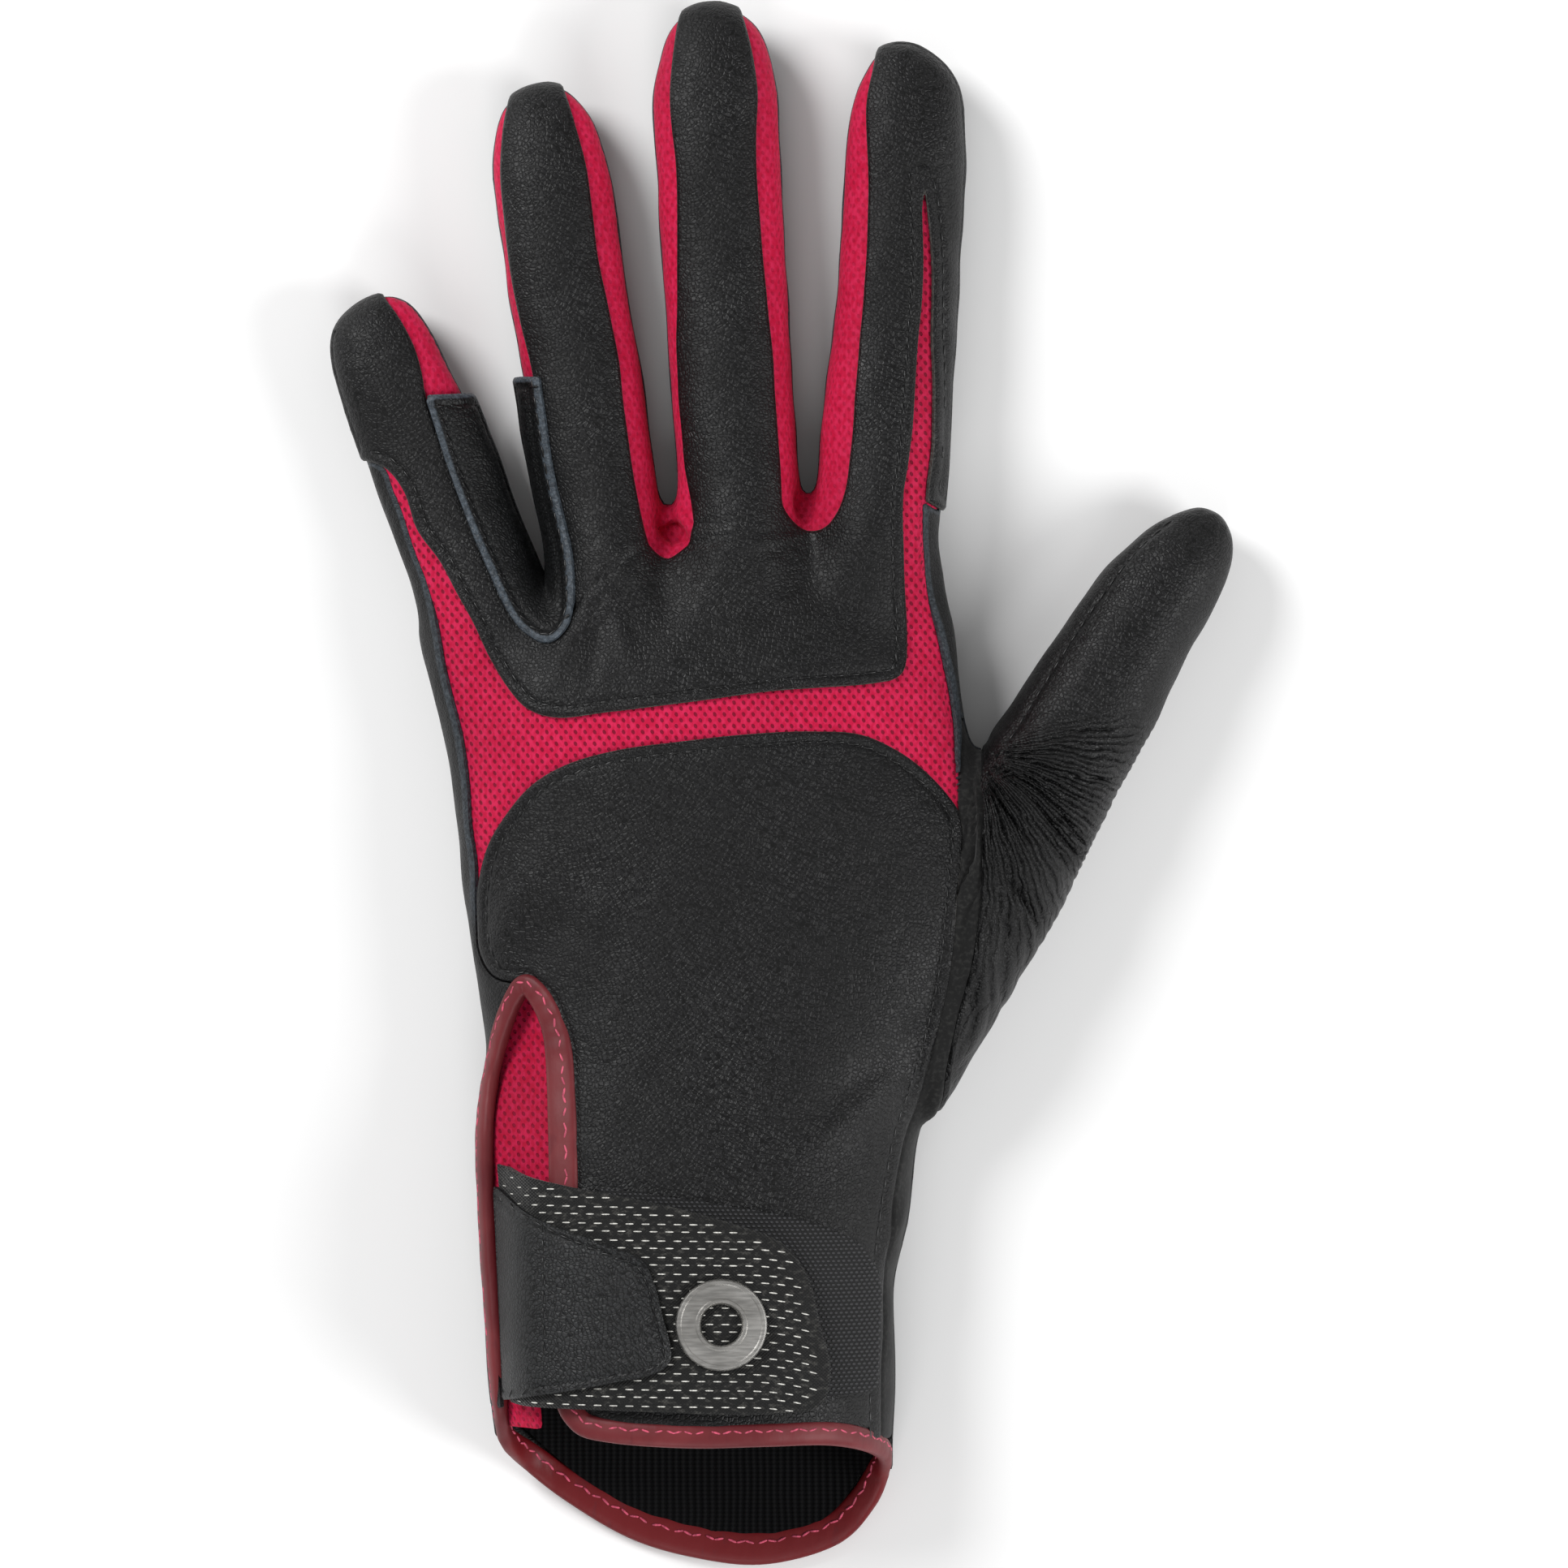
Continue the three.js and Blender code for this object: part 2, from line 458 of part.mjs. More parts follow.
const guardRegion = [
  ...fingerEdge(LITTLE, [[0.65, 1.3], [0.685, 0.3], [0.43, 0.27], [0.19, 0.33]]),
  ...plan(GUARD_FORK),
  ...fingerEdge(RING, [[0.07, -0.55], [0.207, -0.62], [0.43, -0.62], [0.44, -1.3]]),
];
const forkRegion = (first, second) => [
  fingerPoint(first, -0.06, 0), fingerPoint(first, 1.25, 0),
  fingerPoint(second, 1.25, 0), fingerPoint(second, -0.06, 0),
];

// The binding, one closed loop round the vent and the cuff
const bindingPath = new THREE.CatmullRomCurve3(BINDING_PATH.map(({ across, along, side }) => {
  const place = flat(across, along);
  return new THREE.Vector3(place.x, place.y, skinHeight(place, side));
}), true, 'catmullrom', 0.5);
const bindingTube = (radius) => toSolid(
  new THREE.TubeGeometry(bindingPath, BINDING_STEPS, radius, BINDING_SIDES, true),
);

// Walls
const inner = gloveForm(-LEATHER, INSIDE);
const leatherShell = gloveForm(0).subtract(inner);
const meshShell = gloveForm(-MESH_DROP).subtract(inner);
const upper = above(SEAM_HEIGHT + GAP);
const bindingRoom = bindingTube(BINDING_RADIUS + GAP);
const openBack = block(openRegion).intersect(above(SEAM_HEIGHT));
const openPalm = block(palmEnd).intersect(below(SEAM_HEIGHT + GAP));
const wristLayer = (lift, thickness) => wristForm(lift + thickness).subtract(wristForm(lift));
const thumbRoom = block(thumbRegion, GAP);

const group = new THREE.Group();

function addPiece(name, solid, colour, roughness, metalness = 0) {
  const material = new THREE.MeshStandardMaterial({ color: colour, roughness, metalness });
  const mesh = new THREE.Mesh(toGeometry(withoutCrumbs(solid)), material);
  mesh.name = name;
  group.add(mesh);
}

const BLACK_LEATHER = 0x17171a;
const SUEDE = 0x101012;
const RED_MESH = 0xc01640;
const MAROON = 0x6f2029;
const WEBBING = 0x1b1b1c;
const STEEL = 0xb8b8b6;

// Palm leather: the underside, the finger undersides and the edges wrapped round the sides
const palm = leatherShell
  .subtract(thumbRoom)
  .subtract(block(backRegion).intersect(above(SEAM_HEIGHT)))
  .subtract(openBack)
  .subtract(openPalm)
  .subtract(bindingRoom);
addPiece('palm', palm, BLACK_LEATHER, 0.5);

const upperPanel = (shell) => shell
  .intersect(upper)
  .subtract(thumbRoom)
  .subtract(openBack)
  .subtract(bindingRoom);

const knuckle = upperPanel(leatherShell).intersect(block(knuckleRegion, -GAP / 2))
  .intersect(block(backRegion, -GAP));
addPiece('knuckle_panel', knuckle, BLACK_LEATHER, 0.5);
const panel = upperPanel(leatherShell).intersect(block(panelRegion, -GAP / 2))
  .intersect(block(backRegion, -GAP));
addPiece('hand_panel', panel, BLACK_LEATHER, 0.5);
const strip = upperPanel(leatherShell).intersect(block(stripRegion, -GAP / 2))
  .intersect(block(backRegion, -GAP));
addPiece('side_strip', strip, SUEDE, 0.85);
addPiece('thumb', leatherShell.intersect(block(thumbRegion)), BLACK_LEATHER, 0.5);

const red = upperPanel(meshShell)
  .intersect(block(backRegion, -GAP))
  .subtract(block(knuckleRegion, GAP / 2))
  .subtract(block(panelRegion, GAP / 2))
  .subtract(block(stripRegion, GAP / 2));
const forks = [
  { name: 'fourchette_little_ring', region: forkRegion(LITTLE, RING) },
  { name: 'fourchette_ring_middle', region: forkRegion(RING, MIDDLE) },
  { name: 'fourchette_middle_index', region: forkRegion(MIDDLE, INDEX) },
];
let backMesh = red;
for (const { name, region } of forks) {
  const room = block(region);
  addPiece(name, red.intersect(room), RED_MESH, 0.8);
  backMesh = backMesh.subtract(room);
}
addPiece('back_mesh', backMesh, RED_MESH, 0.8);

// Rein guard, sewn over the fork between little finger and ring finger
const guard = gloveForm(GAP + GUARD).subtract(gloveForm(GAP))
  .intersect(upper)
  .intersect(block(guardRegion));
addPiece('rein_guard', guard, BLACK_LEATHER, 0.5);

addPiece('cuff_binding', bindingTube(BINDING_RADIUS), MAROON, 0.55);

// Gusset under the vent, from its top to the cuff
const gussetRegion = plan([
  [-0.343, -0.115], [-0.26, -0.135], [-0.22, -0.2], [-0.215, -0.5], [-0.25, -0.545],
  [-0.36, -0.56], [-0.372, -0.45], [-0.372, -0.3], [-0.38, -0.16],
]);
const gusset = wristLayer(-GUSSET_SINK - GUSSET, GUSSET)
  .intersect(upper)
  .intersect(block(gussetRegion))
  .subtract(bindingRoom);
addPiece('vent_gusset', gusset, RED_MESH, 0.8);

// Knit lining round the inside of the cuff mouth, open under the vent
const liningRoom = plan([[-0.19, -LINING_DEPTH + 0.35], [-0.19, -FAR], [-0.7, -FAR], [-0.7, -0.05]]);
const lining = wristLayer(-LINING_SINK - LINING, LINING)
  .subtract(block(plan([[-FAR, -LINING_DEPTH], [FAR, -LINING_DEPTH], [FAR, FAR], [-FAR, FAR]])))
  .subtract(block(liningRoom).intersect(above(SEAM_HEIGHT)))
  .subtract(openBack)
  .subtract(openPalm)
  .subtract(bindingTube(BINDING_RADIUS + LINING));
addPiece('cuff_lining', lining, SUEDE, 0.95);

// Closure: patch, strap, leather wedge and metal ring, each lying on the one below
const patchLift = GAP;
const patch = wristLayer(patchLift, PATCH).intersect(upper).intersect(block(plan(PATCH_OUTLINE)));
addPiece('hook_patch', patch.subtract(bindingRoom), WEBBING, 0.95);
const strapLift = patchLift + PATCH + GAP;
const strap = wristLayer(strapLift, STRAP).intersect(upper).intersect(block(plan(STRAP_OUTLINE)));
addPiece('strap', strap.subtract(bindingRoom), WEBBING, 0.85);
const tabLift = strapLift + STRAP + GAP;
const tab = wristLayer(tabLift, TAB).intersect(upper).intersect(block(plan(TAB_OUTLINE)));
addPiece('strap_tab', tab, BLACK_LEATHER, 0.5);

function metalRing() {
  const shape = new THREE.Shape();
  shape.absarc(0, 0, RING_RADIUS, 0, 2 * Math.PI);
  const hole = new THREE.Path();
  hole.absarc(0, 0, RING_HOLE, 0, 2 * Math.PI, true);
  shape.holes.push(hole);
  const settings = { depth: RING_THICKNESS, bevelEnabled: false, curveSegments: 12 };
  const geometry = new THREE.ExtrudeGeometry(shape, settings);
  const place = flat(...RING_PLACE);
  const step = RING_RADIUS;
  const height = (x, y) => skinHeight(new THREE.Vector2(place.x + x, place.y + y), 1);
  const slopeX = (height(step, 0) - height(-step, 0)) / (2 * step);
  const slopeY = (height(0, step) - height(0, -step)) / (2 * step);
  const normal = new THREE.Vector3(-slopeX, -slopeY, 1).normalize();
  const turn = new THREE.Quaternion().setFromUnitVectors(new THREE.Vector3(0, 0, 1), normal);
  geometry.applyQuaternion(turn);
  const lift = BINDING_SINK + strapLift + STRAP + GAP;
  geometry.translate(place.x, place.y, height(0, 0) + lift);
  return toSolid(geometry);
}
addPiece('metal_ring', metalRing(), STEEL, 0.35, 1);

export default group;
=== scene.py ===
# Looks of a left-hand riding glove lying palm down. The tables are in millimetres, the scene in metres.
import math

import bpy
import numpy as np
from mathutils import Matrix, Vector
from mathutils.bvhtree import BVHTree


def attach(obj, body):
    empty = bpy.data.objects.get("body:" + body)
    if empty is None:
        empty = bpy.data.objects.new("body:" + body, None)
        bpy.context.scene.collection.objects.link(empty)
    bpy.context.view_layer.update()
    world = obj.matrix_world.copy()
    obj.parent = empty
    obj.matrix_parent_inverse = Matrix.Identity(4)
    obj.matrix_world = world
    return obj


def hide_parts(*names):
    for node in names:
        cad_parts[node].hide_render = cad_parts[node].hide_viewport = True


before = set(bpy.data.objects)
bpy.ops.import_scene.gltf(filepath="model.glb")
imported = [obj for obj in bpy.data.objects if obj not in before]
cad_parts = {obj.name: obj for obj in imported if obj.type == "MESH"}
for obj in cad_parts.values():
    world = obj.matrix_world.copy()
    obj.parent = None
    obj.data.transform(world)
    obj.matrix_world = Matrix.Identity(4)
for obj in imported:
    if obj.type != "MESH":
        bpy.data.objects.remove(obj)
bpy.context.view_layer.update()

# Driving dimensions, as in the solids
MM = 0.001
HAND_WIDTH = 82
HAND_LENGTH = 158
HAND_DEPTH = 30
SEAM_HEIGHT = 8.5              # level of the side seam between palm and back
UPPER_ROUNDNESS = 2.3
LOWER_ROUNDNESS = 3.2
FLOOR_PRESS = 1.12             # the underside is pressed flat where it rests
FAR = 1.3                      # beyond every outline, as a share

# Layers, as heights above the hand form's skin
LEATHER_LIFT = 0.35
LEATHER = 0.8
RED_LIFT = -0.6
RED = 0.7
PALM_FINGER_LIFT = -0.5
GUARD_LIFT = 1.35
GUARD = 0.9
LINING_LIFT = -0.75
LINING = 0.7
GUSSET_LIFT = -3.0
STRAP_END_LIFT = -1.15
GUSSET_SIDE_LIFT = -1.3
GUSSET = 0.8
PATCH_LIFT = 1.3
PATCH = 0.9
STRAP_LIFT = 3.0
STRAP = 1.4
TAB_LIFT = 4.2
TAB = 1.0

# Where the layers lap over one another
SEAM_GAP = 0.3                 # between the pieces over and under the side seam
UNDERLAP = 2.5                 # the red mesh runs on this far under the leather
RED_END = -18                  # the red mesh ends here, above the wrist
LINING_TOP = -40               # how far up into the hand the lining reaches
LINING_INSET = 2.3             # the lining stops where the binding laps over it
LINING_END = (84, 92)          # the inset comes in over this stretch of the wrist
LINING_SIDE = (24, 28)         # and goes out again towards the thumb side
GUSSET_BOTTOM = 3.5
GUSSET_FALL = (-34.5, -30)     # across: from the side wall to the sunk middle
STRAP_RISE = (-34, -24)        # across: from under the binding up over the cuff
TAB_END = -33.4                # the tab's left end, under the binding
TAB_END_SLOPE = 0.07
TAB_END_LEVEL = -52.5

# Stitches: pitch, distance from the panel's edge, depth below the skin and slant
STITCH_PITCH = 2.6
STITCH_INSET = 1.7
STITCH_SINK = 0.05
STITCH_SLANT = 0.12
TAB_STITCH_PITCH = 2.3
TAB_STITCH_INSET = 1.2
THUMB_STITCH_INSET = 1.0

# White dashes woven into the strap, in level pairs of rows that dip at its right end
DASH_PAIRS = 16
DASHES = 24
DASH_LEFT = -34
DASH_TOP = -49.6
DASH_PITCH = 2.48
PAIR_PITCH = 2.56
PAIR_GAP = 1.15
DASH_MARGIN = 0.45             # from the strap's edge
DASH_UNDER_TAB = 0.4           # how far a row runs in under the tab
DASH_SLOPE = 0.012
DASH_BEND = 0.010
DASH_BEND_START = 6
DASH_SINK = 0.03

# Binding
BINDING_SINK = 0.5
BINDING_HALF_THICKNESS = 1.15
BINDING_COUNT = 420
BINDING_SECTION = 20
BINDING_SQUARENESS = 0.72
BINDING_STITCH = 1.75
STITCH_SHIFT = 0.28            # where the pink row runs, as a share of the half width

# Fingers: lengths run from root to tip, lean turns the tip to the thumb side. Left and right are
# half widths as shares of the width, at the stations' shares of the length.
STATIONS = (-0.25, 0, 0.2, 0.5, 0.8, 0.9, 0.95, 0.985, 1)
LITTLE = dict(length=57.6, width=20, depth=15, lean=-17.9, root=(-0.421, 0.211),
              left=(0.28, 0.43, 0.455, 0.495, 0.505, 0.46, 0.37, 0.2, 0.08),
              right=(0.42, 0.5, 0.53, 0.475, 0.39, 0.325, 0.26, 0.16, 0.07))
RING = dict(length=81.1, width=20, depth=16.5, lean=-7.6, root=(-0.184, 0.259),
            left=(0.44, 0.46, 0.46, 0.495, 0.525, 0.455, 0.385, 0.26, 0.12),
            right=(0.44, 0.5, 0.52, 0.485, 0.465, 0.405, 0.32, 0.21, 0.1))
MIDDLE = dict(length=89.3, width=20, depth=17, lean=-3.0, root=(0.070, 0.284),
              left=(0.46, 0.5, 0.51, 0.53, 0.55, 0.475, 0.39, 0.26, 0.12),
              right=(0.46, 0.5, 0.51, 0.495, 0.505, 0.455, 0.38, 0.225, 0.1))
INDEX = dict(length=77.8, width=20, depth=16.5, lean=3.4, root=(0.331, 0.316),
             left=(0.46, 0.53, 0.53, 0.465, 0.455, 0.405, 0.325, 0.235, 0.12),
             right=(0.28, 0.5, 0.51, 0.515, 0.495, 0.455, 0.35, 0.18, 0.07))
FINGER_OVER = (1.05, 1.36, 1.23, 1.07, 1.0, 0.94, 0.86, 0.74, 0.62)
FINGER_UNDER = (0, 0, 0, 0, 0, 0.03, 0.09, 0.2, 0.36)

# Thumb sections: left end along and across, right end along and across, underside, top
THUMB = dict(length=75.2, width=24, depth=19, lean=30.7, root=(0.500, -0.065))
THUMB_ROWS = (
    (0.24, -0.70, -0.44, 0.20, 0, 1.02), (0.30, -0.45, -0.37, 0.50, 0, 1.18),
    (0.32, -0.46, -0.13, 0.50, 0, 1.24), (0.34, -0.46, -0.02, 0.50, 0, 1.15),
    (0.37, -0.465, 0.10, 0.505, 0, 1.2), (0.40, -0.46, 0.21, 0.47, 0, 1.08),
    (0.43, -0.45, 0.32, 0.44, 0, 1.12), (0.51, -0.44, 0.475, 0.42, 0, 1.03),
    (0.60, -0.425, 0.63, 0.39, 0, 1.01), (0.72, -0.40, 0.74, 0.36, 0, 0.97),
    (0.83, -0.33, 0.86, 0.345, 0.02, 0.92), (0.915, -0.24, 0.93, 0.305, 0.08, 0.85),
    (0.96, -0.14, 0.972, 0.22, 0.18, 0.74), (0.99, -0.05, 0.998, 0.095, 0.34, 0.58),
)

# Hand sections from cuff to finger roots: along, slant, left, right, underside, top
HAND_ROWS = (
    (-0.90, 0, -0.398, 0.356, 0.045, 1.12), (-0.60, 0, -0.401, 0.356, 0.045, 1.12),
    (-0.52, 0, -0.417, 0.361, 0, 1.1), (-0.44, 0, -0.424, 0.357, 0, 1.07),
    (-0.36, 0, -0.432, 0.388, 0, 1.03), (-0.28, 0, -0.44, 0.405, 0, 0.98),
    (-0.20, 0, -0.42, 0.455, 0, 0.94), (-0.12, 0, -0.437, 0.55, 0, 0.92),
    (-0.04, 0, -0.464, 0.6, 0, 0.91), (0.03, 0, -0.475, 0.58, 0, 0.9),
    (0.08, 0, -0.488, 0.53, 0, 0.89), (0.13, 0.01, -0.505, 0.492, 0, 0.87),
    (0.19, 0.03, -0.53, 0.478, 0, 0.82), (0.25, 0.06, -0.55, 0.462, 0, 0.70),
    (0.30, 0.08, -0.54, 0.44, 0.05, 0.54), (0.33, 0.085, -0.5, 0.4, 0.15, 0.40),
)

# Outlines seen from above: across is a share of the hand's width, along of its length
BACK_LEFT = ((-0.601, 0.356), (-0.559, 0.292), (-0.537, 0.259), (-0.515, 0.223), (-0.503, 0.190),
             (-0.489, 0.162), (-0.464, 0.097), (-0.451, 0.032), (-0.442, -0.008), (-0.439, -0.073))
SEAM_TO_VENT = ((-0.43, -0.1), (-0.40, -0.125), (-0.343, -0.131))
VENT_RIGHT = ((-0.309, -0.144), (-0.281, -0.172), (-0.268, -0.211), (-0.264, -0.267), (-0.262, -0.324),
              (-0.261, -0.446), (-0.259, -0.527), (-0.250, -0.547), (-0.226, -0.562), (-0.187, -0.571))
VENT_LEFT = ((-0.365, -0.144), (-0.393, -0.186), (-0.413, -0.235), (-0.420, -0.284), (-0.415, -0.365),
             (-0.401, -0.462), (-0.390, -0.551))
BACK_CUFF = ((-0.125, -0.577), (-0.031, -0.579), (0.094, -0.577), (0.219, -0.575), (0.29, -0.58))
PALM_CUFF = ((-0.390, -0.585), (-0.351, -0.600), (-0.259, -0.638), (-0.134, -0.675), (-0.012, -0.693),
             (0.086, -0.700), (0.190, -0.693), (0.262, -0.673), (0.312, -0.642), (0.335, -0.615))
PANEL_TOP = ((-0.439, -0.073), (-0.436, -0.032), (-0.420, 0), (-0.387, 0.032), (-0.331, 0.067),
             (-0.265, 0.087), (-0.172, 0.101), (-0.047, 0.110), (0.078, 0.117), (0.203, 0.120),
             (0.297, 0.117), (0.367, 0.101), (0.429, 0.077), (0.465, 0.057), (0.487, 0.038))
PANEL_RIGHT = ((0.481, -0.041), (0.465, -0.122), (0.430, -0.203), (0.380, -0.284), (0.366, -0.32),
               (0.352, -0.365), (0.342, -0.413), (0.336, -0.478), (0.335, -0.527), (0.335, -0.595))
STRIP_TOP = ((0.488, 0.134), (0.487, 0.089))
THUMB_SEAM = ((0.528, 0.097), (0.526, 0.041), (0.524, -0.041), (0.507, -0.113), (0.481, -0.162),
              (0.462, -0.211), (0.450, -0.243), (0.437, -0.261))
WRAP_RIGHT = ((0.484, 0.053), (0.481, 0.097), (0.471, 0.162), (0.457, 0.194), (0.443, 0.227),
              (0.431, 0.255), (0.426, 0.292))
KNUCKLE_LEFT = ((-0.293, 0.134), (-0.343, 0.144), (-0.372, 0.160), (-0.412, 0.193), (-0.443, 0.227),
                (-0.478, 0.259), (-0.510, 0.290), (-0.553, 0.322))
KNUCKLE_RIGHT = ((0.378, 0.292), (0.382, 0.259), (0.387, 0.211), (0.385, 0.192), (0.377, 0.179),
                 (0.361, 0.172))
KNUCKLE_BOTTOM = ((0.336, 0.169), (0.125, 0.160), (-0.031, 0.149), (-0.187, 0.139))
FORK_LITTLE_RING = ((-0.285, 0.262), (-0.282, 0.249), (-0.272, 0.243), (-0.26, 0.252))
FORK_RING_MIDDLE = ((-0.1155, 0.3192), (-0.1046, 0.3062), (-0.0874, 0.2973), (-0.0718, 0.2933),
                    (-0.0546, 0.2973), (-0.0375, 0.3054), (-0.0265, 0.3151), (-0.0234, 0.3281),
                    (-0.0265, 0.3394))
FORK_MIDDLE_INDEX = ((0.1436, 0.3597), (0.1467, 0.3451), (0.1592, 0.3338), (0.1748, 0.3257),
                     (0.1936, 0.3208), (0.2139, 0.3208), (0.2326, 0.3249), (0.2498, 0.3354),
                     (0.2607, 0.3483))
GUARD_FORK = ((-0.375, 0.235), (-0.345, 0.217), (-0.300, 0.206), (-0.262, 0.218), (-0.246, 0.245))
STRAP_OUTLINE = ((-0.414, -0.309), (-0.265, -0.328), (-0.109, -0.344), (0.047, -0.365), (0.140, -0.385),
                 (0.180, -0.413), (0.203, -0.462), (0.222, -0.518), (0.203, -0.545), (0.140, -0.551),
                 (-0.109, -0.549), (-0.377, -0.544))
TAB_OUTLINE = ((-0.396, -0.334), (-0.277, -0.367), (-0.179, -0.387), (-0.113, -0.403), (-0.092, -0.425),
               (-0.078, -0.455), (-0.062, -0.489), (-0.063, -0.499), (-0.075, -0.507), (-0.168, -0.521),
               (-0.373, -0.541))
PATCH_OUTLINE = ((-0.200, -0.33), (-0.109, -0.336), (0.047, -0.348), (0.203, -0.365), (0.289, -0.387),
                 (0.322, -0.421), (0.322, -0.478), (0.319, -0.531), (0.226, -0.536), (-0.109, -0.534),
                 (-0.190, -0.520))
GUSSET_OUTLINE = ((-0.343, -0.115), (-0.26, -0.135), (-0.22, -0.2), (-0.215, -0.45), (-0.345, -0.53),
                  (-0.347, -0.572), (-0.41, -0.572), (-0.44, -0.45), (-0.45, -0.3), (-0.42, -0.16))
RING_PLACE = (0.031, -0.463)
RING_RADIUS = 7.15
RING_HOLE = 3.15

# The binding's loop: across, along, side (1 on the back, -1 on the palm), half width, shift across
BINDING_ROWS = (
    (-0.343, -0.131, 1, 1.7, 0), (-0.309, -0.144, 1, 2.0, -0.3), (-0.281, -0.172, 1, 2.2, -0.5),
    (-0.268, -0.211, 1, 2.4, -0.6), (-0.263, -0.300, 1, 2.5, -0.45), (-0.261, -0.420, 1, 2.5, -0.5),
    (-0.259, -0.520, 1, 2.1, -0.6), (-0.240, -0.557, 1, 2.0, 0), (-0.180, -0.568, 1, 1.9, 0),
    (-0.031, -0.573, 1, 1.9, 0), (0.110, -0.572, 1, 1.9, 0), (0.230, -0.572, 1, 1.9, 0),
    (0.305, -0.581, 0.92, 1.8, 0), (0.342, -0.596, 0.3, 1.8, 0), (0.335, -0.615, -0.75, 2.0, 0),
    (0.300, -0.650, -1, 2.3, 0), (0.235, -0.680, -1, 2.7, 0), (0.110, -0.696, -1, 2.9, 0),
    (-0.012, -0.690, -1, 2.9, 0), (-0.134, -0.672, -1, 2.8, 0), (-0.259, -0.636, -1, 2.5, 0),
    (-0.345, -0.603, -0.9, 2.1, 0), (-0.385, -0.580, -0.1, 1.8, 0), (-0.389, -0.545, 0.75, 1.8, -0.5),
    (-0.400, -0.462, 1, 2.1, -0.6), (-0.414, -0.365, 1, 2.1, -0.5), (-0.419, -0.284, 1, 2.1, -0.4),
    (-0.412, -0.235, 1, 1.9, -0.3), (-0.393, -0.186, 1, 1.7, -0.2), (-0.368, -0.148, 1, 1.6, -0.1),
)


# Curves and outlines

def smooth(keys, values, places):
    """Smooth values at the places, through the values given at the keys, without overshoot."""
    keys = np.array(keys, float)
    values = np.array(values, float)
    step = np.diff(keys)
    rise = np.diff(values) / step
    product = rise[1:] * rise[:-1]
    total = np.where(product > 0, rise[1:] + rise[:-1], 1)
    slope = np.concatenate([rise[:1], np.where(product > 0, 2 * product / total, 0), rise[-1:]])
    i = np.clip(np.searchsorted(keys, places, side="right") - 1, 0, len(keys) - 2)
    t = (places - keys[i]) / step[i]
    start = (1 + 2 * t) * (1 - t) ** 2 * values[i] + t * (1 - t) ** 2 * step[i] * slope[i]
    end = t * t * (3 - 2 * t) * values[i + 1] + t * t * (t - 1) * step[i] * slope[i + 1]
    return start + end


def smooth_table(keys, table, count):
    """A table of sections filled in with smooth rows between its own."""
    places = np.linspace(keys[0], keys[-1], count)
    return np.stack([smooth(keys, column, places) for column in np.array(table, float).T], axis=1)


def ramp(value, low, high):
    """0 below low, 1 above high, and smooth between them."""
    t = np.clip((value - low) / (high - low), 0, 1)
    return t * t * (3 - 2 * t)


def plan(rows):
    return np.array(rows, float) * (HAND_WIDTH, HAND_LENGTH)


def leaning(member, along, across):
    """A point of a finger or thumb seen from above, from lengths along it and across it."""
    lean = math.radians(member["lean"])
    forward = np.array([math.sin(lean), math.cos(lean)])
    sideways = np.array([math.cos(lean), -math.sin(lean)])
    root = np.array(member["root"]) * (HAND_WIDTH, HAND_LENGTH)
    return root + np.multiply.outer(along, forward) + np.multiply.outer(across, sideways)


def finger_edge(finger, rows):
    """Points at shares of a finger's length and side, -1 on its left edge and 1 on its right edge."""
    points = []
    for along, side in rows:
        half = np.interp(along, STATIONS, finger["left"] if side < 0 else finger["right"])
        points.append(leaning(finger, along * finger["length"], side * half * finger["width"]))
    return np.array(points)


CORNER = math.radians(62)      # a sharper turn than this stays a corner
OUTLINE_STEP = 1.0


def rounded(points, closed=True):
    """A smooth outline through the points, which keeps its sharp corners and its long straight runs."""
    points = np.array(points, float)
    count = len(points)
    after = np.roll(points, -1, axis=0) - points
    length = np.hypot(*after.T)
    unit = after / length[:, None]
    before = np.roll(unit, 1, axis=0)
    turn = np.arccos(np.clip((unit * before).sum(1), -1, 1))
    middle = unit + before
    middle /= np.maximum(np.hypot(*middle.T), 1e-6)[:, None]
    shared = turn < CORNER
    result = []
    for i in range(count if closed else count - 1):
        j = (i + 1) % count
        start = middle[i] if shared[i] and (closed or i > 0) else unit[i]
        end = middle[j] if shared[j] and (closed or j < count - 1) else unit[i]
        steps = int(min(14, max(1, math.ceil(length[i] / OUTLINE_STEP))))
        t = (np.arange(steps) / steps)[:, None]
        near = (1 + 2 * t) * (1 - t) ** 2 * points[i] + t * (1 - t) ** 2 * length[i] * start
        far = t * t * (3 - 2 * t) * points[j] + t * t * (t - 1) * length[i] * end
        result.append(near + far)
    if not closed:
        result.append(points[-1:])
    return np.concatenate(result)


def inside(outline, places):
    """Distance from the places to an outline seen from above, positive inside it."""
    start = outline
    edge = np.roll(outline, -1, axis=0) - outline
    square = np.maximum((edge ** 2).sum(1), 1e-9)
    rise = np.where(np.abs(edge[:, 1]) < 1e-9, 1e-9, edge[:, 1])
    result = np.empty(len(places))
    for first in range(0, len(places), 4000):
        x = places[first:first + 4000, 0:1] - start[:, 0]
        y = places[first:first + 4000, 1:2] - start[:, 1]
        share = np.clip((x * edge[:, 0] + y * edge[:, 1]) / square, 0, 1)
        gap = (x - share * edge[:, 0]) ** 2 + (y - share * edge[:, 1]) ** 2
        crossed = ((y < 0) != (y < edge[:, 1])) & (x < y * edge[:, 0] / rise)
        odd = crossed.sum(1) % 2 == 1
        result[first:first + 4000] = np.sqrt(gap.min(1)) * np.where(odd, 1, -1)
    return result


def joined(*parts):
    return rounded(np.concatenate([np.array(part, float).reshape(-1, 2) for part in parts]))


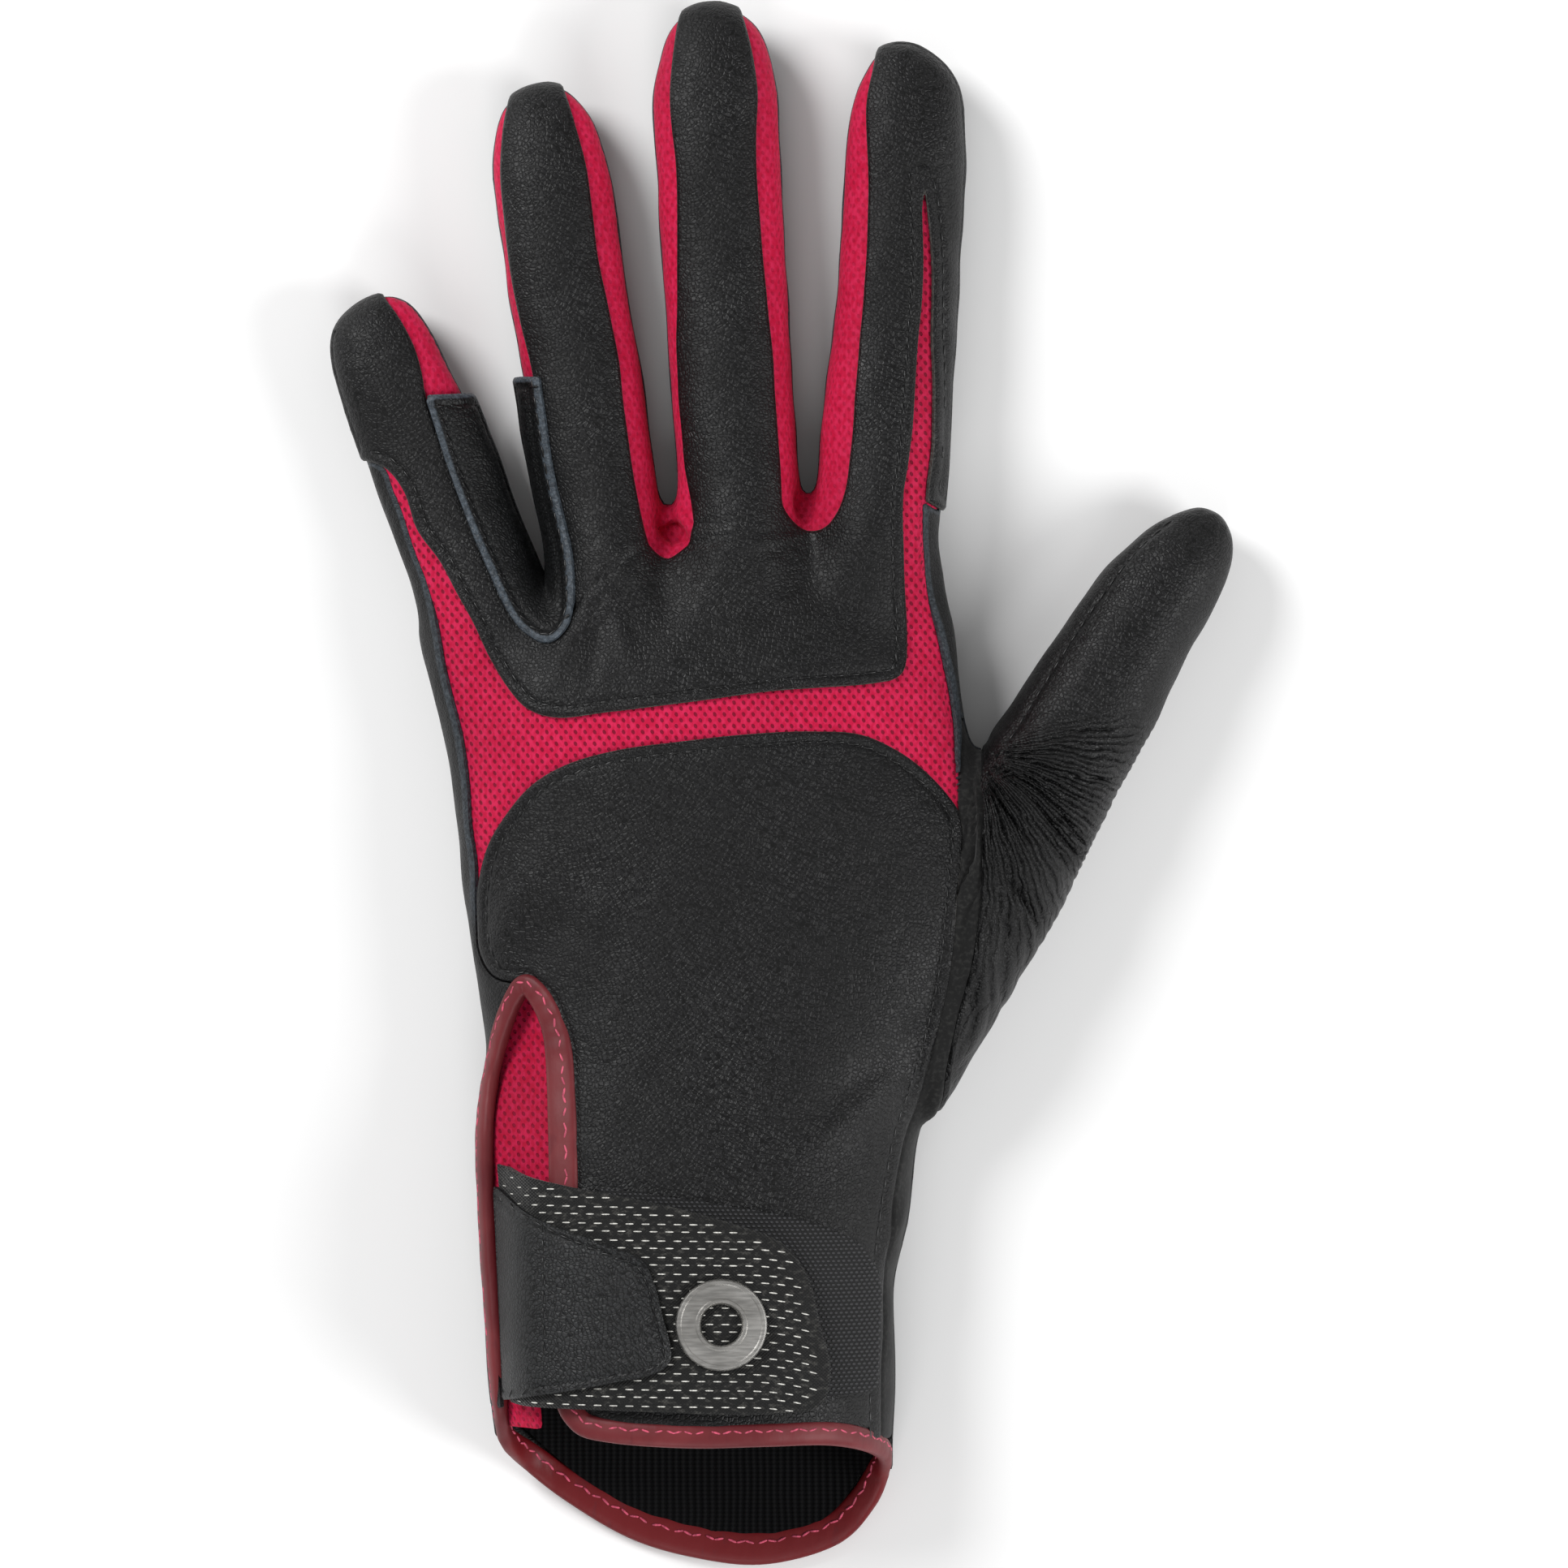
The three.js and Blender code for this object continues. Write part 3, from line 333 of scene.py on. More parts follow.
REGIONS = {
    "back": joined(
        finger_edge(LITTLE, [(0.57, -2.4), (0.57, -1.02), (0.535, -0.75), (0.46, -0.72)]),
        plan(BACK_LEFT), plan(SEAM_TO_VENT),
        plan([(-0.33, -0.3), (-0.33, -FAR), (FAR, -FAR), (FAR, 0.134)]),
        plan(STRIP_TOP), plan(WRAP_RIGHT),
        finger_edge(INDEX, [(0.07, 0.72), (0.055, 1.02), (0.055, 2.4)]),
        plan([(0.8, 0.9), (0.8, FAR - 0.1), (-FAR + 0.1, FAR - 0.1), (-FAR + 0.1, 0.45)])),
    "open": joined(
        plan(SEAM_TO_VENT[2:]), plan(VENT_RIGHT), plan(BACK_CUFF),
        plan([(FAR, -0.60), (FAR, -FAR + 0.1), (-FAR + 0.1, -FAR + 0.1), (-FAR + 0.1, -0.57)]),
        plan(VENT_LEFT[::-1])),
    "palm_end": joined(
        plan([(-FAR + 0.1, -0.57)]), plan(PALM_CUFF),
        plan([(FAR, -0.60), (FAR, -FAR + 0.1), (-FAR + 0.1, -FAR + 0.1)])),
    "panel": joined(
        plan(PANEL_TOP), plan(PANEL_RIGHT), plan([(0.335, -0.95), (-0.33, -0.95), (-0.33, -0.3)]),
        plan(SEAM_TO_VENT[::-1])),
    "strip": joined(
        plan(STRIP_TOP), plan([(0.487, 0.038)]), plan(PANEL_RIGHT),
        plan([(0.335, -0.95), (0.9, -0.95), (0.9, 0.134)])),
    "thumb": joined(
        plan(THUMB_SEAM),
        plan([(0.43, -0.30), (FAR + 0.3, -0.30), (FAR + 0.3, 0.8), (0.63, 0.8), (0.56, 0.2),
              (0.532, 0.115)])),
    "knuckle": joined(
        plan(KNUCKLE_LEFT),
        finger_edge(LITTLE, [(0.46, -0.52), (0.535, -0.70), (0.57, -1.02), (0.57, -2.2), (1.25, -14),
                             (1.25, 0.5), (0.985, 0.4), (0.91, 0.42), (0.82, 0.45), (0.74, 0.4),
                             (0.685, 0.33), (0.43, 0.42), (0.19, 0.6)]),
        plan(FORK_LITTLE_RING),
        finger_edge(RING, [(0.2, -0.7), (0.43, -0.78), (0.64, -0.86), (0.83, -0.84), (1.15, -0.5),
                           (1.15, 0.4), (0.83, 0.57), (0.64, 0.55), (0.45, 0.63), (0.26, 0.6)]),
        plan(FORK_RING_MIDDLE),
        finger_edge(MIDDLE, [(0.19, -0.8), (0.36, -0.83), (0.53, -0.73), (0.7, -0.65), (0.85, -0.73),
                             (1.15, -0.5), (1.15, 0.5), (0.85, 0.65), (0.7, 0.55), (0.53, 0.59),
                             (0.36, 0.65), (0.19, 0.665)]),
        plan(FORK_MIDDLE_INDEX),
        finger_edge(INDEX, [(0.15, -0.5), (0.41, -0.49), (0.54, -0.48), (0.74, -0.56), (0.87, -0.69),
                            (1.2, -0.6), (1.2, 15), (0.02, 2.2), (0.02, 0.8), (0.07, 0.74),
                            (0.148, 0.75), (0.346, 0.7), (0.412, 0.64), (0.544, 0.58), (0.66, 0.47),
                            (0.73, 0.33), (0.544, 0.44), (0.346, 0.43), (0.148, 0.395), (0.082, 0.35)]),
        plan(KNUCKLE_RIGHT), plan(KNUCKLE_BOTTOM)),
    "guard": joined(
        finger_edge(LITTLE, [(0.65, 1.3), (0.685, 0.3), (0.43, 0.27), (0.19, 0.33)]),
        plan(GUARD_FORK),
        finger_edge(RING, [(0.07, -0.5), (0.207, -0.6), (0.43, -0.62), (0.44, -1.3)])),
    "strap": joined(plan(STRAP_OUTLINE)),
    "tab": joined(plan(((-0.47, -0.32), *TAB_OUTLINE, (-0.47, -0.55)))),
    "patch": joined(plan(PATCH_OUTLINE)),
    "gusset": joined(plan(GUSSET_OUTLINE)),
}
FORKS = {"fourchette_little_ring": (LITTLE, RING), "fourchette_ring_middle": (RING, MIDDLE),
         "fourchette_middle_index": (MIDDLE, INDEX)}
for fork_name, (first_finger, second_finger) in FORKS.items():
    first_axis = finger_edge(first_finger, [(-0.06, 0), (1.25, 0)])
    second_axis = finger_edge(second_finger, [(1.25, 0), (-0.06, 0)])
    REGIONS[fork_name] = joined(first_axis, second_axis)


# The hand form

HAND_SIDES = 120
MEMBER_SIDES = 64
HAND_RINGS = 130
MEMBER_RINGS = 90
VOXEL = 0.9
RELAX_SHARE = 0.5              # how far a point moves to its neighbours' middle in a round
RELAX_ROUNDS = 8
KNUCKLE_ROUNDS = 60


def section(left, right, under, over, sides):
    """One cross-section in the upright plane through left and right, widest at the side seam."""
    turn = np.linspace(0, 2 * math.pi, sides, endpoint=False)
    cosine = np.cos(turn)
    sine = np.sin(turn)
    power = np.where(sine >= 0, 2 / UPPER_ROUNDNESS, 2 / LOWER_ROUNDNESS)
    across = np.sign(cosine) * np.abs(cosine) ** power
    lift = np.abs(sine) ** power
    rise = (over - SEAM_HEIGHT) * lift
    drop = (under - SEAM_HEIGHT) * np.minimum(1, FLOOR_PRESS * lift)
    ring = np.empty((sides, 3))
    ring[:, :2] = (left + right) / 2 + np.multiply.outer(across, (right - left) / 2)
    ring[:, 2] = SEAM_HEIGHT + np.where(sine >= 0, rise, drop)
    return ring


def hand_rings():
    keys = [row[0] for row in HAND_ROWS]
    rings = []
    for along, slant, left, right, under, over in smooth_table(keys, HAND_ROWS, HAND_RINGS):
        start, end = plan([(left, along - slant / 2), (right, along + slant / 2)])
        rings.append(section(start, end, under * HAND_DEPTH, over * HAND_DEPTH, HAND_SIDES))
    return rings


def finger_rings(finger):
    table = np.stack([STATIONS, finger["left"], finger["right"], FINGER_UNDER, FINGER_OVER], axis=1)
    rings = []
    for along, left, right, under, over in smooth_table(STATIONS, table, MEMBER_RINGS):
        start = leaning(finger, along * finger["length"], -left * finger["width"])
        end = leaning(finger, along * finger["length"], right * finger["width"])
        rings.append(section(start, end, under * finger["depth"], over * finger["depth"], MEMBER_SIDES))
    return rings


def thumb_rings():
    rings = []
    length = THUMB["length"]
    width = THUMB["width"]
    for row in smooth_table(np.arange(len(THUMB_ROWS)), THUMB_ROWS, MEMBER_RINGS):
        start = leaning(THUMB, row[0] * length, row[1] * width)
        end = leaning(THUMB, row[2] * length, row[3] * width)
        rings.append(section(start, end, row[4] * THUMB["depth"], row[5] * THUMB["depth"], MEMBER_SIDES))
    return rings


def ring_faces(count, sides, closed):
    """Quads between neighbouring rings, and from the last ring to the first where it is closed."""
    faces = []
    for i in range(count if closed else count - 1):
        here = i * sides
        following = (i + 1) % count * sides
        for k in range(sides):
            m = (k + 1) % sides
            faces.append((here + k, here + m, following + m, following + k))
    return faces


def loft(rings):
    """Points and faces of a closed skin over rings of equal point count."""
    sides = len(rings[0])
    faces = ring_faces(len(rings), sides, closed=False)
    faces.append(tuple(range(sides))[::-1])
    faces.append(tuple(range((len(rings) - 1) * sides, len(rings) * sides)))
    return np.concatenate(rings), faces


def scene_object(name, data):
    thing = bpy.data.objects.new(name, data)
    bpy.context.scene.collection.objects.link(thing)
    return thing


def skin():
    """One closed skin of small triangles round the hand, the fingers and the thumb."""
    points = []
    faces = []
    for rings in [hand_rings(), thumb_rings(), *map(finger_rings, (LITTLE, RING, MIDDLE, INDEX))]:
        start = sum(len(part) for part in points)
        part, part_faces = loft(rings)
        points.append(part)
        faces += [tuple(i + start for i in face) for face in part_faces]
    mesh = bpy.data.meshes.new("skin")
    mesh.from_pydata(np.concatenate(points).tolist(), [], faces)
    thing = scene_object("skin", mesh)
    remesh = thing.modifiers.new("remesh", "REMESH")
    remesh.mode = "VOXEL"
    remesh.voxel_size = VOXEL
    remesh.use_smooth_shade = True
    made = thing.evaluated_get(bpy.context.evaluated_depsgraph_get()).to_mesh()
    result = np.empty(len(made.vertices) * 3)
    made.vertices.foreach_get("co", result)
    made.calc_loop_triangles()
    triangles = np.empty(len(made.loop_triangles) * 3, np.int64)
    made.loop_triangles.foreach_get("vertices", triangles)
    bpy.data.objects.remove(thing)
    bpy.data.meshes.remove(mesh)
    return result.reshape(-1, 3), triangles.reshape(-1, 3)


# Finger forks that reach deeper: place, direction of the gap in degrees, depth, reach above, reach below
DEEPER_FORKS = ((-27.3, 50, 107, 6.6, 17, 22), (-6.3, 58.6, 94, 3.9, 12, 16))
FORK_SPREAD = 5.5


def deepen_forks(points):
    """Slides the web between two fingers down along the gap."""
    result = points.copy()
    for x, y, direction, depth, above, below in DEEPER_FORKS:
        turn = math.radians(direction)
        along = np.array([math.cos(turn), math.sin(turn)])
        rest = points[:, :2] - (x, y)
        up = rest @ along
        side = rest @ np.array([-along[1], along[0]])
        share = np.exp(-(side / FORK_SPREAD) ** 2) * (1 - ramp(up, 0, above)) * (1 - ramp(-up, 0, below))
        result[:, :2] -= (depth * share)[:, None] * along
    return result


def edges_of(faces):
    return np.concatenate([faces[:, [0, 1]], faces[:, [1, 2]], faces[:, [2, 0]]])


def relax(points, faces, weight, rounds):
    """Moves each point some way to the middle of its neighbours."""
    pairs = edges_of(faces)
    count = len(points)
    degree = np.maximum(np.bincount(pairs[:, 0], minlength=count), 1)
    for _ in range(rounds):
        near = points[pairs[:, 1]]
        total = np.stack([np.bincount(pairs[:, 0], near[:, axis], count) for axis in range(3)], 1)
        points = points + weight[:, None] * (total / degree[:, None] - points)
    return points


def point_normals(points, faces):
    a, b, c = (points[faces[:, k]] for k in range(3))
    face = np.cross(b - a, c - a)
    total = np.zeros_like(points)
    for k in range(3):
        for axis in range(3):
            total[:, axis] += np.bincount(faces[:, k], face[:, axis], len(points))
    return total / np.maximum(np.linalg.norm(total, axis=1), 1e-9)[:, None]


# Folds and wrinkles, as heights over the skin

GATHER = (41.7, 15.2)          # the thumb's gathers fan out from here
GATHER_BEND = 0.45             # degrees a pleat turns down by for each millimetre
SEAM_X = 38.5                  # no gather reaches left of the thumb's seam
# Soft folds: across, along (mm), direction (degrees), half length, half width, height
SOFT_FOLDS = (
    (19, -44, 38, 18, 3.2, 0.9), (12, -50, 36, 16, 3.0, -0.6), (24, -36, 42, 12, 2.6, -0.5),
    (-30, -9, 62, 10, 3.0, 0.8), (-25, -14, 60, 9, 2.6, -0.6), (-24, 20, 40, 13, 5, 0.35),
    (-21, 34, 65, 7, 1.5, 0.6), (-17, 33, 80, 7, 1.3, -0.5), (-14, 36, 112, 7, 1.4, 0.5),
    (-7, 44, 95, 7, 2.0, -0.5), (1, 43, 60, 6, 1.8, 0.35), (-12, 43, 130, 6, 1.6, 0.3),
    (17, 48, 92, 6, 2.0, -0.5), (23, 46, 60, 7, 2.0, 0.3), (10, 46, 125, 7, 2.0, 0.3),
    (33.5, -34, 75, 6, 1.5, 0.9), (35.5, -40, 60, 4, 1.4, 1.0), (33.5, -46, 80, 5, 1.3, 0.6),
    (-5.3, 50.8, 135, 2.2, 1.0, -1.7), (-3.6, 52.0, 125, 2.6, 0.9, 0.7), (15.4, 54.6, 95, 2.2, 0.8, -1.4),
    (4, 49.3, 8, 7, 0.5, -0.4), (6, 48.2, 9, 8, 0.5, 0.3), (3, 51.8, 3, 5, 0.5, -0.3),
    (8, 46.6, 14, 6, 0.5, -0.3),
    (-12, 46, 35, 5, 0.5, -0.35), (-17, 42, 40, 6, 0.5, -0.35), (-15, 39, 50, 6, 0.6, 0.3),
)
WRIST_FOLDS = (
    (30, -58, 70, 4, 1.3, 0.7), (30.5, -64, 110, 4, 1.2, 0.6), (29.5, -71, 75, 5, 1.3, 0.7),
    (29.5, -79, 100, 4, 1.2, 0.6), (30, -85, 80, 4, 1.2, 0.5),
)


def gathers(points, normals):
    """Sharp pleats that fan out from the thumb's fork and break up into fine wrinkles."""
    x = points[:, 0] - GATHER[0]
    y = points[:, 1] - GATHER[1]
    reach = np.hypot(x, y)
    angle = np.degrees(np.arctan2(y, x)) + GATHER_BEND * reach
    limit = 34 + 24 * ramp(-angle, 45, 85)
    fan = (1 - ramp(angle, 8, 32)) * ramp(angle, -100, -82)
    wander = 3.2 * np.sin(reach / 6.5 + angle / 9) + 1.8 * np.sin(reach / 3.1 - angle / 5 + 2)
    pleat = np.abs(np.sin((angle + wander) * math.pi / 8.5)) ** 0.75 - 0.65
    fine = np.abs(np.sin((angle + 0.6 * wander) * math.pi / 3.7)) ** 0.8 - 0.6
    uneven = 0.75 + 0.25 * np.sin(angle / 4.3 + reach / 8)
    deep = ramp(reach, 1.5, 7) * (1 - ramp(reach, limit - 20, limit)) * ramp(normals[:, 2], 0.0, 0.6)
    late = ramp(reach, 8, 18) * (1 - ramp(reach, limit - 6, limit + 10)) * ramp(normals[:, 2], -0.4, 0.3)
    seam = ramp(points[:, 0], SEAM_X, SEAM_X + 2.5)
    return fan * seam * uneven * (1.15 * deep * pleat + 0.42 * late * fine)


THUMB_SEAM_ROWS = ((0.36, -0.355), (0.5, -0.345), (0.7, -0.32), (0.85, -0.26), (0.93, -0.18))
THUMB_SEAM_LINE = rounded(np.array([leaning(THUMB, along * THUMB["length"], across * THUMB["width"])
                                    for along, across in THUMB_SEAM_ROWS]), closed=False)


def thumb_groove(points, normals):
    """The sewn line along the thumb's inner side."""
    near = (points[:, 0] > SEAM_X) & (normals[:, 2] > 0)
    depth = np.zeros(len(points))
    there_and_back = np.concatenate([THUMB_SEAM_LINE, THUMB_SEAM_LINE[-2:0:-1]])
    depth[near] = -0.4 * np.exp(-(inside(there_and_back, points[near]) / 0.5) ** 2)
    return depth


def soft_folds(points, normals, folds):
    total = np.zeros(len(points))
    for across, along, direction, half_length, half_width, height in folds:
        turn = math.radians(direction)
        x = points[:, 0] - across
        y = points[:, 1] - along
        lengthwise = x * math.cos(turn) + y * math.sin(turn)
        sideways = -x * math.sin(turn) + y * math.cos(turn)
        total += height * np.exp(-(lengthwise / half_length) ** 2 - (sideways / half_width) ** 2)
    return total * ramp(normals[:, 2], -0.1, 0.4)


def ripple(points, step, phase):
    """Soft uneven waves about one step long."""
    x, y, z = points.T / step
    return (np.sin(1.7 * x + 2.6 * y + phase) + np.sin(2.9 * x - 1.3 * y + 1.9 * z + 2 * phase)
            + np.sin(1.1 * x - 2.2 * z + 2.4 * y + 3 * phase)) / 3


def wrinkles(points, normals):
    calm = 1 - 0.85 * ramp(-points[:, 1], 44, 52)
    total = soft_folds(points, normals, SOFT_FOLDS)
    total = total + 0.22 * ripple(points, 9, 1) + 0.10 * ripple(points, 4, 2)
    return (calm * total + soft_folds(points, normals, WRIST_FOLDS) + gathers(points, normals)
            + thumb_groove(points, normals))


# Cutting pieces out of the skin

def split(rows, faces, value, level=0.0):
    """Cuts the triangles along a level of a value, and returns rows, faces and each face's side."""
    t = value - level
    t = np.where(np.abs(t) < 1e-5, 1e-5, t)
    up = t > 0
    count = up[faces].sum(1)
    mixed = (count == 1) | (count == 2)
    whole = faces[~mixed]
    part = faces[mixed]
    if len(part) == 0:
        return rows, whole, up[whole[:, 0]]
    lone_up = count[mixed] == 1
    first = np.argmax(up[part] == lone_up[:, None], axis=1)
    part = np.take_along_axis(part, (first[:, None] + np.arange(3)) % 3, 1)
    edges = np.sort(np.concatenate([part[:, [0, 1]], part[:, [0, 2]]]), axis=1)
    unique, where = np.unique(edges, axis=0, return_inverse=True)
    where = where.reshape(-1)
    a, b = unique.T
    share = (t[a] / (t[a] - t[b]))[:, None]
    added = rows[a] + (rows[b] - rows[a]) * share
    p = len(rows) + where[:len(part)]
    q = len(rows) + where[len(part):]
    lone = np.stack([part[:, 0], p, q], 1)
    near = np.stack([p, part[:, 1], part[:, 2]], 1)
    far = np.stack([p, part[:, 2], q], 1)
    side = np.concatenate([up[whole[:, 0]], lone_up, ~lone_up, ~lone_up])
    return np.concatenate([rows, added]), np.concatenate([whole, lone, near, far]), side


def compact(rows, faces):
    used, where = np.unique(faces, return_inverse=True)
    return rows[used], where.reshape(-1, 3)


def finer(rows, faces):
    """Splits each triangle in four, with the new points bulged out to the curved skin."""
    edges = edges_of(faces)
    unique, where = np.unique(np.sort(edges, axis=1), axis=0, return_inverse=True)
    where = where.reshape(3, -1).T + len(rows)
    a = rows[unique[:, 0]]
    b = rows[unique[:, 1]]
    added = (a + b) / 2
    middle = added[:, :3].copy()
    for end in (a, b):
        off = ((middle - end[:, :3]) * end[:, 3:6]).sum(1)
        added[:, :3] -= 0.375 * off[:, None] * end[:, 3:6]
    added[:, 3:6] /= np.linalg.norm(added[:, 3:6], axis=1)[:, None]
    corner = faces
    new = np.concatenate([
        np.stack([corner[:, 0], where[:, 0], where[:, 2]], 1),
        np.stack([corner[:, 1], where[:, 1], where[:, 0]], 1),
        np.stack([corner[:, 2], where[:, 2], where[:, 1]], 1),
        where])
    return np.concatenate([rows, added]), new


FIELDS = list(REGIONS)
MARGIN = 2.0


def field(rows, name):
    return rows[:, 6 + FIELDS.index(name)]


def topstitched(points):
    """1 where panel edges are topstitched, and 0 between the fingers, where the seams are turned in."""
    x, y = points[:, 0], points[:, 1]
    left = -30 - 0.615 * (y - 36)
    right = 27 + 0.035 * (y - 50)
    return np.where((y < 40) | (x < left) | (x > right), 1.0, 0.0)


def hem(depth, points, turned=0.35, groove=0.28, stitch=STITCH_INSET):
    """Height of a panel near its cut edge: a rounded edge, then a shallow groove at the stitches."""
    edge = -turned * (1 - ramp(depth, 0, 0.55)) ** 1.5
    return edge - groove * np.exp(-((depth - stitch) / 0.42) ** 2)


def panel_hem(depth, points):
    return hem(depth, points, 0.35, 0.28 * topstitched(points))


def thumb_hem(depth, points):
    return hem(depth, points, 0.4, 0.12, THUMB_STITCH_INSET)


def tab_hem(depth, points):
    return hem(depth, points, 0.3, 0.25, TAB_STITCH_INSET)


HEM_LEVELS = (0.22, 0.55, 1.1, 1.45, 1.7, 1.95, 2.4)


def shell_piece(name, keep, lift, thickness, shape=hem, levels=HEM_LEVELS, refine=0, surface=None):
    """Cuts a closed sheet out of the skin, where keep is positive, and lifts it off the skin."""
    rows, faces = SKIN_ROWS, SKIN_FACES
    depth = keep(rows)
    faces = faces[(depth[faces] > -MARGIN).any(1)]
    rows, faces = compact(rows, faces)
    for _ in range(refine):
        rows, faces = finer(rows, faces)
    depth = keep(rows)
    for level in (0.0, *levels):
        rows = np.concatenate([rows, depth[:, None]], 1)
        rows, faces, side = split(rows, faces, depth, level)
        depth = rows[:, -1]
        rows = rows[:, :-1]
        if level == 0.0:
            faces = faces[side]
    rows = np.concatenate([rows, depth[:, None]], 1)
    rows, faces = compact(rows, faces)
    depth = np.maximum(rows[:, -1], 0)
    points, normals = rows[:, :3], rows[:, 3:6]
    base = lift(rows) if callable(lift) else np.full(len(rows), float(lift))
    height = wrinkles(points, normals) + base
    outer = points + normals * (height + shape(depth, points))[:, None]
    inner = points + normals * (height - thickness)[:, None]
    outer[:, 2] = np.maximum(outer[:, 2], 0.02)
    inner[:, 2] = np.maximum(inner[:, 2], 0.02 + 0.8 * thickness)
    return closed_sheet(name + "_fine", outer, inner, faces, {"edge": depth}, surface)


def closed_sheet(name, outer, inner, faces, values, surface):
    """A closed mesh from an outer and an inner side of the same triangles."""
    count = len(outer)
    edges = edges_of(faces)
    code = edges[:, 0] * count + edges[:, 1]
    back = edges[:, 1] * count + edges[:, 0]
    a, b = edges[~np.isin(code, back)].T
    walls = np.concatenate([np.stack([b, a, a + count], 1), np.stack([b, a + count, b + count], 1)])
    every = np.concatenate([faces, faces[:, ::-1] + count, walls])
    both = {key: np.concatenate([value, value]) for key, value in values.items()}
    return mesh_piece(name, np.concatenate([outer, inner]), every, both, surface)


SHARP = math.radians(48)


def mesh_piece(name, points, faces, values=None, surface=None, sharp=SHARP):
    """A mesh object from points in millimetres."""
    mesh = bpy.data.meshes.new(name)
    faces = np.asarray(faces)
    sides = faces.shape[1]
    mesh.vertices.add(len(points))
    mesh.vertices.foreach_set("co", (np.asarray(points) * MM).astype(np.float32).ravel())
    mesh.loops.add(faces.size)
    mesh.loops.foreach_set("vertex_index", faces.astype(np.int32).ravel())
    mesh.polygons.add(len(faces))
    mesh.polygons.foreach_set("loop_start", np.arange(0, faces.size, sides, dtype=np.int32))
    mesh.update(calc_edges=True)
    for key, value in (values or {}).items():
        layer = mesh.attributes.new(key, "FLOAT", "POINT")
        layer.data.foreach_set("value", np.asarray(value, np.float32))
    mesh.shade_smooth()
    mesh.set_sharp_from_angle(angle=sharp)
    mesh.materials.append(surface)
    return scene_object(name, mesh)


# Materials

def colour(red, green, blue):
    """A colour given as it looks on screen, 0 to 255."""
    shares = [value / 255 for value in (red, green, blue)]
    linear = [share / 12.92 if share <= 0.04045 else ((share + 0.055) / 1.055) ** 2.4 for share in shares]
    return (*linear, 1)


class Surface:
    """A node material under construction: each step adds nodes and returns an output socket."""

    def __init__(self, name, **settings):
        self.material = bpy.data.materials.new(name)
        self.material.use_nodes = True
        self.tree = self.material.node_tree
        self.shader = self.tree.nodes["Principled BSDF"]
        for key, value in settings.items():
            self.shader.inputs[key.replace("_", " ")].default_value = value
        self.place = self.new("ShaderNodeTexCoord").outputs["Object"]

    def new(self, kind, **settings):
        made = self.tree.nodes.new(kind)
        for key, value in settings.items():
            setattr(made, key, value)
        return made

    def feed(self, socket, value):
        if isinstance(value, bpy.types.NodeSocket):
            self.tree.links.new(value, socket)
        else:
            socket.default_value = value

    def set(self, name, value):
        self.feed(self.shader.inputs[name], value)

    def calc(self, operation, a, b=0.0):
        made = self.new("ShaderNodeMath", operation=operation)
        for socket, value in zip(made.inputs, (a, b)):
            self.feed(socket, value)
        return made.outputs[0]

    def plus(self, a, b):
        return self.calc("ADD", a, b)

    def minus(self, a, b):
        return self.calc("SUBTRACT", a, b)

    def times(self, a, b):
        return self.calc("MULTIPLY", a, b)

    def over(self, a, b):
        return self.calc("DIVIDE", a, b)

    def power(self, a, b):
        return self.calc("POWER", a, b)

    def sine(self, a):
        return self.calc("SINE", a)

    def absolute(self, a):
        return self.calc("ABSOLUTE", a)

    def floor(self, a):
        return self.calc("FLOOR", a)

    def fraction(self, a):
        return self.calc("FRACT", a)

    def ramp(self, value, low, high, start=0.0, end=1.0):
        made = self.new("ShaderNodeMapRange", interpolation_type="SMOOTHSTEP")
        for key, number in (("Value", value), ("From Min", low), ("From Max", high),
                            ("To Min", start), ("To Max", end)):
            self.feed(made.inputs[key], number)
        return made.outputs["Result"]

    def mix(self, share, first, second):
        made = self.new("ShaderNodeMix", data_type="RGBA")
        for socket, value in ((made.inputs[0], share), (made.inputs[6], first), (made.inputs[7], second)):
            self.feed(socket, value)
        return made.outputs[2]

    def stretched(self, scale, turn=(0, 0, 0)):
        made = self.new("ShaderNodeMapping")
        self.feed(made.inputs["Vector"], self.place)
        made.inputs["Scale"].default_value = scale
        made.inputs["Rotation"].default_value = turn
        return made.outputs["Vector"]

    def noise(self, scale, detail=2.0, place=None, distortion=0.0):
        made = self.new("ShaderNodeTexNoise")
        self.feed(made.inputs["Vector"], place or self.place)
        made.inputs["Scale"].default_value = scale
        made.inputs["Detail"].default_value = detail
        made.inputs["Distortion"].default_value = distortion
        return made.outputs["Fac"]

    def cells(self, scale, place=None, feature="DISTANCE_TO_EDGE"):
        made = self.new("ShaderNodeTexVoronoi", feature=feature)
        self.feed(made.inputs["Vector"], place or self.place)
        made.inputs["Scale"].default_value = scale
        return made.outputs["Distance"]

    def parts(self):
        """X, Y and Z in millimetres."""
        made = self.new("ShaderNodeSeparateXYZ")
        self.feed(made.inputs[0], self.place)
        return [self.calc("MULTIPLY", output, 1 / MM) for output in made.outputs]

    def edge(self):
        return self.new("ShaderNodeAttribute", attribute_name="edge").outputs["Fac"]

    def bump(self, height, distance, strength=1.0, below=None):
        """Height is from 0 to 1, and distance is what 1 stands for, in millimetres."""
        made = self.new("ShaderNodeBump")
        made.inputs["Strength"].default_value = strength
        made.inputs["Distance"].default_value = distance * MM
        self.feed(made.inputs["Height"], height)
        if below is not None:
            self.feed(made.inputs["Normal"], below)
        return made.outputs["Normal"]


